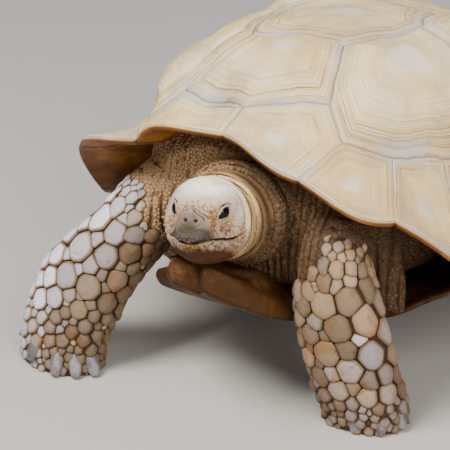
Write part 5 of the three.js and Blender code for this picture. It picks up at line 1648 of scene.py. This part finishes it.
def surface_samples(data, count, keep, random):
    """Random points on the smooth faces where keep(centre) holds, evenly by area."""
    data.calc_loop_triangles()
    triangles = np.empty(len(data.loop_triangles) * 3, np.int32)
    data.loop_triangles.foreach_get("vertices", triangles)
    triangles = triangles.reshape(-1, 3)
    corner = positions(data)[triangles]
    chosen = keep(corner.mean(1))
    corner = corner[chosen]
    area = np.linalg.norm(np.cross(corner[:, 1] - corner[:, 0], corner[:, 2] - corner[:, 0]), axis=1)
    pick = random.choice(len(corner), count, p=area / area.sum())
    pick = pick[get_value(data, "fold")[triangles[chosen][pick]].mean(1) < CREASED]
    u, v = random.random((2, len(pick)))
    flip = u + v > 1
    u, v = np.where(flip, 1 - u, u), np.where(flip, 1 - v, v)
    c = corner[pick]
    return c[:, 0] + (c[:, 1] - c[:, 0]) * u[:, None] + (c[:, 2] - c[:, 0]) * v[:, None]


def settle(candidates, radius, closeness, fixed=None, batch=1500):
    """Keeps candidates that stand clear of those kept before them, each as far as the two radii ask."""
    kept_p, kept_r = fixed or (np.zeros((0, 3)), np.zeros(0))
    start_count = len(kept_p)
    biggest = max(radius.max(), kept_r.max(initial=0))
    for start in range(0, len(candidates), batch):
        p, r = candidates[start:start + batch], radius[start:start + batch]
        tree = tree_of_points(kept_p)
        free = np.array([
            all(distance >= (r[i] + kept_r[j]) * closeness
                for _, j, distance in tree.find_range(p[i], (r[i] + biggest) * closeness))
            for i in range(len(p))
        ])
        p, r = p[free], r[free]
        gap = np.linalg.norm(p[:, None] - p[None], axis=2)
        close = gap < (r[:, None] + r[None]) * closeness
        taken = np.ones(len(p), bool)
        for i in range(len(p)):
            if taken[i]:
                taken[i + 1:] &= ~close[i, i + 1:]
        kept_p = np.concatenate([kept_p, p[taken]])
        kept_r = np.concatenate([kept_r, r[taken]])
    return kept_p[start_count:], kept_r[start_count:]


def downwards(points):
    """The way along the body's lofts at points: down a leg, back along the torso."""
    owner, d, _ = owners(points)
    way = np.zeros_like(points)
    for k, loft in enumerate(LOFTS.values()):
        if (owner == k).any():
            way[owner == k] = loft.axes(d[owner == k])[0]
    return way


class Pavement:
    """Plates that share out the skin between them: each seed's cell is cut back by its neighbours'."""

    neighbours = 14
    sharpness = 20  # of the corners of a cell
    widest = 1.6  # reach of a cell, in radii

    def __init__(self, seeds, radius, skin):
        self.skin, self.radius, self.count = skin, radius, len(seeds)
        found = [skin.find_nearest(Vector(to_frame(q))) for q in seeds]
        self.base = np.array([f[0] for f in found]) * 1000 - SHIFT
        self.face = [f[2] for f in found]
        self.normal = unit(np.array([f[1] for f in found]))
        tree = tree_of_points(self.base)
        near = [[j for _, j, _ in tree.find_n(q, self.neighbours + 1)] for q in self.base]
        self.near = np.array(near)[:, 1:]
        way = downwards(self.base)
        self.ahead = unit(way - self.normal * (way * self.normal).sum(1)[:, None])
        self.beside = np.cross(self.normal, self.ahead)

    def cells(self, chosen, sides, groove):
        """The reach of the chosen plates in each direction, 0 being their tip."""
        near, radius = self.near[chosen], self.radius[chosen, None]
        away = self.base[near] - self.base[chosen][:, None]
        ax = (away * self.ahead[chosen][:, None]).sum(2)
        ay = (away * self.beside[chosen][:, None]).sum(2)
        distance = np.maximum(np.linalg.norm(away, axis=2), 1e-6)
        limit = (distance**2 + radius**2 - self.radius[near] ** 2) / (2 * distance) - groove / 2
        limit = np.maximum(limit, radius * 0.3)
        turn = np.arange(sides) / sides * 2 * math.pi
        off = turn[None, :, None] - np.arctan2(ay, ax)[:, None, :]
        facing = np.maximum(np.cos(off), 0) / limit[:, None, :]
        total = (facing**self.sharpness).sum(2) + (1 / (self.widest * radius)) ** self.sharpness
        return turn, total ** (-1 / self.sharpness)

    def evened(self):
        """The pavement again, its seeds and radii moved towards the middles and sizes of their cells."""
        turn, out = self.cells(np.arange(self.count), 12, 0.0)
        x = (out**3 * np.cos(turn)).sum(1) / (out**2).sum(1) * 2 / 3
        y = (out**3 * np.sin(turn)).sum(1) / (out**2).sum(1) * 2 / 3
        size = np.sqrt((out**2).mean(1))
        grown = np.minimum(mix(self.radius, size, 0.45), self.radius * 1.12)
        return Pavement(self.base + self.ahead * x[:, None] + self.beside * y[:, None], grown, self.skin)

    def plates(self, chosen, rise, random, kind):
        """A mesh of the chosen plates, rise high, of a kind in SCALE_KINDS."""
        count, sides, profile = len(chosen), kind["sides"], kind["profile"]
        rise, uv = rise[chosen], self.uv[chosen]
        turn, out = self.cells(chosen, sides, kind["groove"])
        out = out * (1 + self.point[chosen, None] * np.maximum(np.cos(turn), 0)[None] ** 4)
        base, normal = self.base[chosen], self.normal[chosen]
        ahead, beside = self.ahead[chosen], self.beside[chosen]
        edge = base[:, None] + out[..., None] * (
            np.cos(turn)[None, :, None] * ahead[:, None] + np.sin(turn)[None, :, None] * beside[:, None])
        root = [self.skin.find_nearest(Vector(to_frame(q)))[0] for q in edge.reshape(-1, 3)]
        root = (np.array(root) * 1000 - SHIFT).reshape(edge.shape)
        lean = (1 + self.tilt[chosen, None] * np.cos(turn)[None])[..., None] * rise[:, None, None]
        tone, wear = random.random((2, count))
        # Weathering and painted light: on the forelegs the plates turned to the light are greyer and, by
        # their tone, lighter; the granules are darker under the shell.
        wear = clamp01(self.worn[chosen] + 0.5 * (wear - 0.5))
        tone = clamp01(mix(tone, self.worn[chosen], kind["worn_tone"]))
        made = Mesh()
        made.uv = []
        for share, height, mark in profile:
            lift = mix(rise[:, None, None], lean, share) * height
            ring = mix(base[:, None], root, share) + normal[:, None] * lift
            made.add(off_floor(ring), share=mark, tone=tone[:, None], wear=wear[:, None])
            offset = np.stack([np.cos(turn), np.sin(turn)], -1) * share * TILE_SPREAD
            made.uv.append((uv[:, None] + offset[None]).reshape(-1, 2))
        n = len(profile)
        loops = np.arange(n * count * sides).reshape(n, count, sides)
        for a, b in zip(loops, loops[1:]):
            made.face(a, np.roll(a, -1, 1), np.roll(b, -1, 1), b)
        crest = off_floor(base + normal * (rise * profile[-1][1])[:, None])
        inside = off_floor(base - normal * (rise * 0.5)[:, None])
        top = made.add(crest, share=0.0, tone=tone, wear=wear)
        foot = made.add(inside, share=1.0, tone=tone, wear=wear)
        made.uv += [uv, uv]
        made.face(loops[-1], np.roll(loops[-1], -1, 1), np.broadcast_to(top[:, None], loops[-1].shape))
        made.face(np.roll(loops[0], -1, 1), loops[0], np.broadcast_to(foot[:, None], loops[0].shape))
        return made


# The plates stay this far above the floor, inside the skin of the soles.
SOLE = 0.3
# The size of a plate on the unwrap.
TILE_SPREAD = 0.0015
# Sections of a plate, from the root up: share of its reach, height, and the share that its paint reads.
PLATE = [
    (1.0, -0.5, 1.0), (0.99, 0.3, 0.98), (0.955, 0.63, 0.93), (0.89, 0.81, 0.84), (0.78, 0.93, 0.72),
    (0.61, 1.03, 0.52), (0.34, 1.13, 0.24),
]
KNOB = [
    (1.0, -0.4, 1.0), (0.96, 0.25, 0.95), (0.86, 0.58, 0.85), (0.7, 0.82, 0.65), (0.48, 0.97, 0.4),
    (0.22, 1.03, 0.2),
]
GRANULE = [(1.0, -0.5, 1.0), (0.86, 0.6, 0.8), (0.5, 1.0, 0.4)]
# Kinds of scale: corners, width of the groove between two, section, and how far the mask of
# weathering and light sets the tone, as painted light.
SCALE_KINDS = {
    "foreleg_left": {"sides": 20, "groove": 0.12, "profile": PLATE, "worn_tone": 0},
    "foreleg_right": {"sides": 20, "groove": 0.12, "profile": PLATE, "worn_tone": 0.5},
    "knob": {"sides": 18, "groove": 0.3, "profile": KNOB, "worn_tone": 0.8},
    "hind": {"sides": 14, "groove": 0.6, "profile": PLATE, "worn_tone": 0},
    "granule": {"sides": 6, "groove": 0.4, "profile": GRANULE, "worn_tone": 0.75},
}
# Plates at least this large are paved as plates, smaller ones as granules.
PLATE_FROM = 3.6
GRANULE_SIZE = 1.75
# The granules are parted in pieces at these x.
GRANULE_CUTS = [-90, -20, 60, 120]


def off_floor(points):
    """Points with none of them under SOLE."""
    return np.concatenate([points[..., :2], np.maximum(points[..., 2:], SOLE)], -1)


def coat_object(name, mesh, material):
    obj = make_object(name, mesh, material)
    layer = obj.data.uv_layers.new(name="OFBake")
    corner = np.empty(len(obj.data.loops), np.int32)
    obj.data.loops.foreach_get("vertex_index", corner)
    layer.data.foreach_set("uv", np.concatenate(mesh.uv)[corner].astype(np.float32).ravel())
    return obj


TILES = {name: (k % 4, k // 4) for k, name in enumerate(LOFTS)}


def unwrap(owner, d, angle):
    """The place of points on an unwrap of the skin: each loft is a tile, round it and along it."""
    out = np.zeros((len(owner), 2))
    for k, name in enumerate(LOFTS):
        mine = owner == k
        column, row = TILES[name]
        out[mine, 0] = (column + 0.05 + 0.9 * (angle[mine] / (2 * math.pi) + 0.5)) / 4
        out[mine, 1] = (row + 0.05 + 0.9 * d[mine] / LOFTS[name].length) / 2
    return out


def owners(points):
    """The number of the loft nearest to each point, the distance along it and the angle round it."""
    reach = np.stack([np.stack(loft.where(points)) for loft in LOFTS.values()])
    owner = np.argmin(reach[:, 2], 0)
    rows = np.arange(len(points))
    return owner, reach[owner, 0, rows], reach[owner, 1, rows]


def scale_sizes(points):
    """Half-size, pointedness, tilt, and weathering with painted light, of the scale wanted at each
    point; half-size 0 for none.
    """
    owner, d, angle = owners(points)
    height = points[:, 2]
    size = np.full(len(points), GRANULE_SIZE)
    point = np.full(len(points), 0.1)
    tilt = np.full(len(points), 0.25)
    side_out, on_foot = np.zeros((2, len(points)))
    for name, leg in FORELEGS.items():
        mine = belongs(owner, name)
        # The plates cover the front of the leg; across runs from one edge of the front to the other.
        span = math.radians(230)
        across = np.mod(angle - (math.radians(90) - span / 2), 2 * math.pi) / span
        out = (across - 0.5) * 2 * leg["outwards"]
        off_middle = points - LOFTS[name].centre(d)
        side_out = np.where(mine, np.clip(off_middle @ leg["lit"] / 40, -1, 1), side_out)
        down = (d - PLATES_START) / PLATES_LENGTH
        along = smooth(down * 3.0) * (1 - 0.4 * smooth(down * 3 - 2))
        front = mix(5.2, leg["plate"], along) * mix(0.58, 1, smooth(out + 0.85))
        plates = np.where(across < 1, front, mix(3.0, 6, smooth(down * 2)))
        size = np.where(mine, mix(GRANULE_SIZE, plates, smooth((d - 50) / 16)), size)
        foot = mine & (height < leg["foot_top"])
        on_foot = np.where(foot, 1, on_foot)
        size = np.where(foot, np.minimum(size, mix(4.2, 6.6, smooth((height - 6) / 30))), size)
        # The right foreleg has smaller pointed scales down its outer edge.
        off_edge = np.abs(np.mod(angle, 2 * math.pi) - math.pi)
        outer = bell(off_edge / 0.42) * smooth((d - PLATES_START) / 20) * smooth((height - 34) / 20)
        outer = outer * (leg["outwards"] > 0)
        size = np.where(mine, size * (1 - 0.6 * outer), size)
        young = smooth((104 - d) / 34)
        point = np.where(mine & ~foot, np.maximum(0.08 + 0.3 * young, 0.5 * outer), point)
        tilt = np.where(mine & ~foot, np.maximum(0.15 + 0.3 * young, 0.4 * outer), tilt)
    hind = mix(2.6, 7.5, smooth((d - 30) / 50)) * mix(0.65, 1, smooth(0.5 + np.sin(angle) * 0.8))
    size = np.where(belongs(owner, "hind_leg_left", "hind_leg_right"), hind, size)
    size = np.where(belongs(owner, "tail"), 4.2, size)
    size = np.where(belongs(owner, "neck"), 1.7, size)
    local = to_head(points)
    by_skull = np.linalg.norm(local - [0, 26, 0], axis=1) < 62
    on_head = belongs(owner, "head") | by_skull | (local[:, 1] < 30)
    on_head &= np.linalg.norm(local, axis=1) < 84
    size = np.where(on_head, 0, size)
    # Weathering with painted light: the forelegs' plates are greyer and lighter towards their lit side,
    # less so on the left leg, and darker on the forefeet.
    left_worn = 0.45 * side_out * smooth((d - 90) / 50) - 0.1
    worn = np.where(belongs(owner, "foreleg_right"), 0.3 + 0.85 * side_out, left_worn)
    return size, point, tilt, worn * (1 - 0.45 * on_foot)


def outside_shell(points):
    """Which points lie before, behind or below the parts that the shell hides."""
    return (points[:, 1] < -205) | (points[:, 1] > 150) | (points[:, 2] < 110)


def pave(skin_data, blockers, random):
    """Seeds all over the skin in view, large ones first, evened into a pavement."""
    skin = tree_of_faces(skin_data)
    seeds = surface_samples(skin_data, CANDIDATES, outside_shell, random)
    size = scale_sizes(seeds)[0]
    keep = (size > 0) & (seeds[:, 2] > 2)
    seeds, size = seeds[keep], size[keep]
    large = mix(0.6, 1.25, random.random(len(size)) ** 1.2)
    small = mix(0.8, 1.1, random.random(len(size)))
    size = size * np.where(size > 4, large, small)
    order = np.argsort(-np.round(size / 3) + random.random(len(size)) * 0.01)
    seeds, size = seeds[order], size[order]
    # Those that the shell covers are left out.
    clear = np.ones(len(seeds), bool)
    for i, q in enumerate(seeds):
        spot, way, _, _ = skin.find_nearest(Vector(to_frame(q)))
        clear[i] = all(b.ray_cast(spot + way * 0.0005, way, 0.012)[0] is None for b in blockers)
    seeds, size = seeds[clear], size[clear]
    first, radius = settle(seeds, size, 0.84)
    fill, fill_radius = settle(seeds, np.maximum(size * 0.5, 1.7), 0.98, (first, radius))
    pavement = Pavement(np.concatenate([first, fill]), np.concatenate([radius, fill_radius]), skin)
    for _ in range(3):
        pavement = pavement.evened()
    return pavement


def build_scales(skin_data, blockers, materials):
    """The pieces of the coat: plates and knobs of the forelegs, the hind part's, and the granules."""
    random = np.random.default_rng(5)
    pavement = pave(skin_data, blockers, random)
    x, y, height = pavement.base.T
    radius = pavement.radius
    owner, d, angle = owners(pavement.base)
    big = radius > PLATE_FROM
    pavement.uv = unwrap(owner, d, angle)
    _, pavement.point, pavement.tilt, worn = scale_sizes(pavement.base)
    # For the granules the mask is painted shade: darker towards +x, under the shell.
    pavement.worn = np.where(big, worn, clamp01((30 - x) / 70))
    made = []

    def coat(title, chosen, paint, rise, kind):
        mesh = pavement.plates(np.nonzero(chosen)[0], rise, random, SCALE_KINDS[kind])
        made.append(coat_object(title, mesh, materials[paint]))

    rise = 3.4 * np.minimum(1, radius / 9) + 0.5
    for name, leg in FORELEGS.items():
        foot = height < leg["foot_top"]
        mine = big & belongs(owner, name)
        coat(f"scales_{name}", mine & ~foot, "plate", rise, name)
        coat(f"knobs_{name}", mine & foot, "plate", radius * 0.62, "knob")
    behind = belongs(owner, "hind_leg_left", "hind_leg_right", "tail")
    coat("scales_hind_and_tail", big & behind, "plate", rise, "hind")
    fold = get_value(skin_data, "fold")
    creased = np.array([fold[list(skin_data.polygons[k].vertices)].mean() for k in pavement.face]) > 0.5
    small = ~big & ~creased
    part = np.digitize(x, GRANULE_CUTS)
    for k in range(len(GRANULE_CUTS) + 1):
        coat(f"granules_{k + 1}", small & (part == k) & (y < 0), "granule", radius * 0.2, "granule")
    coat("granules_rear", small & (y >= 0), "granule", radius * 0.24, "granule")
    return made


# --------------------------------------------------------------------------------------------------
# Claws and eyes
# --------------------------------------------------------------------------------------------------


# Sections of a claw from the root to the tip, as shares of its size: ahead, up, half width, half depth.
CLAW = [
    (-0.42, 1.08, 0.2, 0.22), (-0.3, 0.95, 0.26, 0.28), (-0.12, 0.74, 0.29, 0.3), (0.04, 0.51, 0.29, 0.29),
    (0.15, 0.32, 0.26, 0.25), (0.22, 0.18, 0.2, 0.19),
]


def claw_mesh(toes):
    """Blunt claws round the front of a foot, root high and tip low."""
    size = toes["size"]
    made = []
    for i, (heading, raised) in enumerate(zip(toes["headings"], toes["raised"])):
        heading = math.radians(heading)
        out = np.array([math.sin(heading), -math.cos(heading), 0])
        root = np.array([*toes["centre"], raised]) + out * [*toes["reach"], 0]
        stations = []
        for along, high, wide, deep in CLAW:
            middle = root + out * size * along + [0, 0, high * size]
            stations.append([middle, size * wide, size * deep, 2.2])
        mesh = Loft(stations, [math.cos(heading), math.sin(heading), 0]).mesh(40, 36, (0.6, 0.75))
        points = mesh.all_points()
        ahead = (points - root) @ out / size
        chip = 0.35 * fractal(points, 6, 3 + i, 3) + 0.25 * fractal(points * [1, 1, 0.3], 2.2, 9 + i, 2)
        points = points + unit(points - root - [0, 0, size * 0.5]) * chip[:, None]
        points[:, 2] = np.maximum(points[:, 2], 0)
        mesh.points = [points]
        mesh.values = {"share": [clamp01(ahead + 0.5)]}
        made.append(mesh)
    whole = joined(made)
    whole.values = {"share": [np.concatenate([m.values["share"][0] for m in made])]}
    return whole


def eye_mesh(side):
    """An eyeball with a low bulge for its cornea."""
    centre = from_head(*([side * EYE["x"], EYE["y"], EYE["z"]] + EYE["forward"] * eye_gaze(side)))
    mesh = ball(centre, EYE["radius"] - 0.1, 40)
    points = mesh.all_points()
    along, across, out = eye_place(to_head(points), side)
    away = np.degrees(np.arctan2(np.hypot(along, across), out))
    bulge = 0.7 * smooth((42 - away) / 30)
    points = centre + (points - centre) * (1 + bulge / EYE["radius"])[:, None]
    mesh.points = [points]
    mesh.values = {"share": [away / 60]}
    return mesh


# --------------------------------------------------------------------------------------------------
# Assembly
# --------------------------------------------------------------------------------------------------

shell = piece(make_object("carapace_horn", carapace(), shell_paint()), ["carapace"])
belly = piece(make_object("plastron_horn", plastron(), plastron_paint()), ["plastron"])

# The skin takes the place of every node but the shell, the plastron, the claws and the eyes.
HARD = ("carapace", "plastron", "claw", "eye")
flesh = [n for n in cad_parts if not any(word in n for word in HARD)]
skin_data = build_skin()
sculpt_skin(skin_data)
skin_data.materials.clear()
skin_data.materials.append(skin_paint())
skin = bpy.data.objects.new("skin", skin_data)
bpy.context.scene.collection.objects.link(skin)
piece(skin, flesh)

blockers = [tree_of_faces(shell.data), tree_of_faces(belly.data)]
coat_paints = {
    "plate": scale_paint("scale_plates", PLATE_COLOURS, (0.62, 1.4)),
    # The granules' wide range of tone carries their painted shade.
    "granule": scale_paint("scale_granules", GRANULE_COLOURS, (0.25, 1.6)),
}
for coat in build_scales(skin_data, blockers, coat_paints):
    piece(coat)

claws = claw_paint()
for name, leg in [
    ("forefoot_left", FORELEG_LEFT), ("forefoot_right", FORELEG_RIGHT),
    ("hindfoot_left", HIND_LEG_LEFT), ("hindfoot_right", HIND_LEG_RIGHT),
]:
    nodes = [f"{name}_claw_{i + 1}" for i in range(len(leg["toes"]["headings"]))]
    piece(make_object(f"claws_{name}", claw_mesh(leg["toes"]), claws), nodes)
wet = eye_paint()
for name, side in (("eye_left", 1), ("eye_right", -1)):
    piece(make_object(f"{name}_wet", eye_mesh(side), wet), [name])

# --------------------------------------------------------------------------------------------------
# Stage, light and camera
# --------------------------------------------------------------------------------------------------


FLOOR_HALF = 6000
FLOOR_COLOUR = (0.46, 0.44, 0.41)
WORLD_COLOUR = (0.86, 0.93, 1, 1)
WORLD_STRENGTH = 0.14
# The camera's place and what it looks at, in the modelling frame, and its focal length in pixels of
# a picture PICTURE wide.
CAMERA_AT = [968, -1717, 918]
CAMERA_TARGET = [-26, -285, 178]
FOCAL = 1894
PICTURE = 450
SENSOR = 36


def stage_floor():
    mesh = Mesh()
    square = np.array([[-1, -1, 0], [1, -1, 0], [1, 1, 0], [-1, 1, 0]], float)
    corner = mesh.add(square * FLOOR_HALF)
    mesh.face(*corner[:, None])
    make_object("stage_floor", mesh, Paint("floor_paint", 0.9, 0.2).finish(FLOOR_COLOUR))


def aim(obj, target):
    """Turns a light or a camera towards a point."""
    obj.rotation_euler = (Vector(target) - obj.location).to_track_quat("-Z", "Y").to_euler()


def area_light(name, place, target, size, energy, colour):
    light = bpy.data.lights.new(name, "AREA")
    light.size = size
    light.energy = energy
    light.color = colour
    obj = bpy.data.objects.new(name, light)
    obj.location = place
    aim(obj, target)
    bpy.context.scene.collection.objects.link(obj)


stage_floor()
area_light("key", (-0.45, -2.0, 2.75), (0, -0.1, 0.2), 1.3, 180, (1, 0.97, 0.93))
area_light("fill", (2.6, -1.6, 1.6), (0, -0.1, 0.15), 2.4, 145, (1, 0.97, 0.94))
area_light("back", (0.5, 2.6, 2.2), (0, 0, 0.2), 2.0, 40, (0.8, 0.9, 1))
world = bpy.data.worlds.new("studio")
world.use_nodes = True
world.node_tree.nodes["Background"].inputs["Color"].default_value = WORLD_COLOUR
world.node_tree.nodes["Background"].inputs["Strength"].default_value = WORLD_STRENGTH
bpy.context.scene.world = world

camera_data = bpy.data.cameras.new("camera")
camera_data.sensor_width = SENSOR
camera_data.lens = SENSOR * FOCAL / PICTURE
camera_data.clip_end = 50
camera = bpy.data.objects.new("camera", camera_data)
camera.location = to_frame(CAMERA_AT)
aim(camera, to_frame(CAMERA_TARGET))
bpy.context.scene.collection.objects.link(camera)
bpy.context.scene.camera = camera
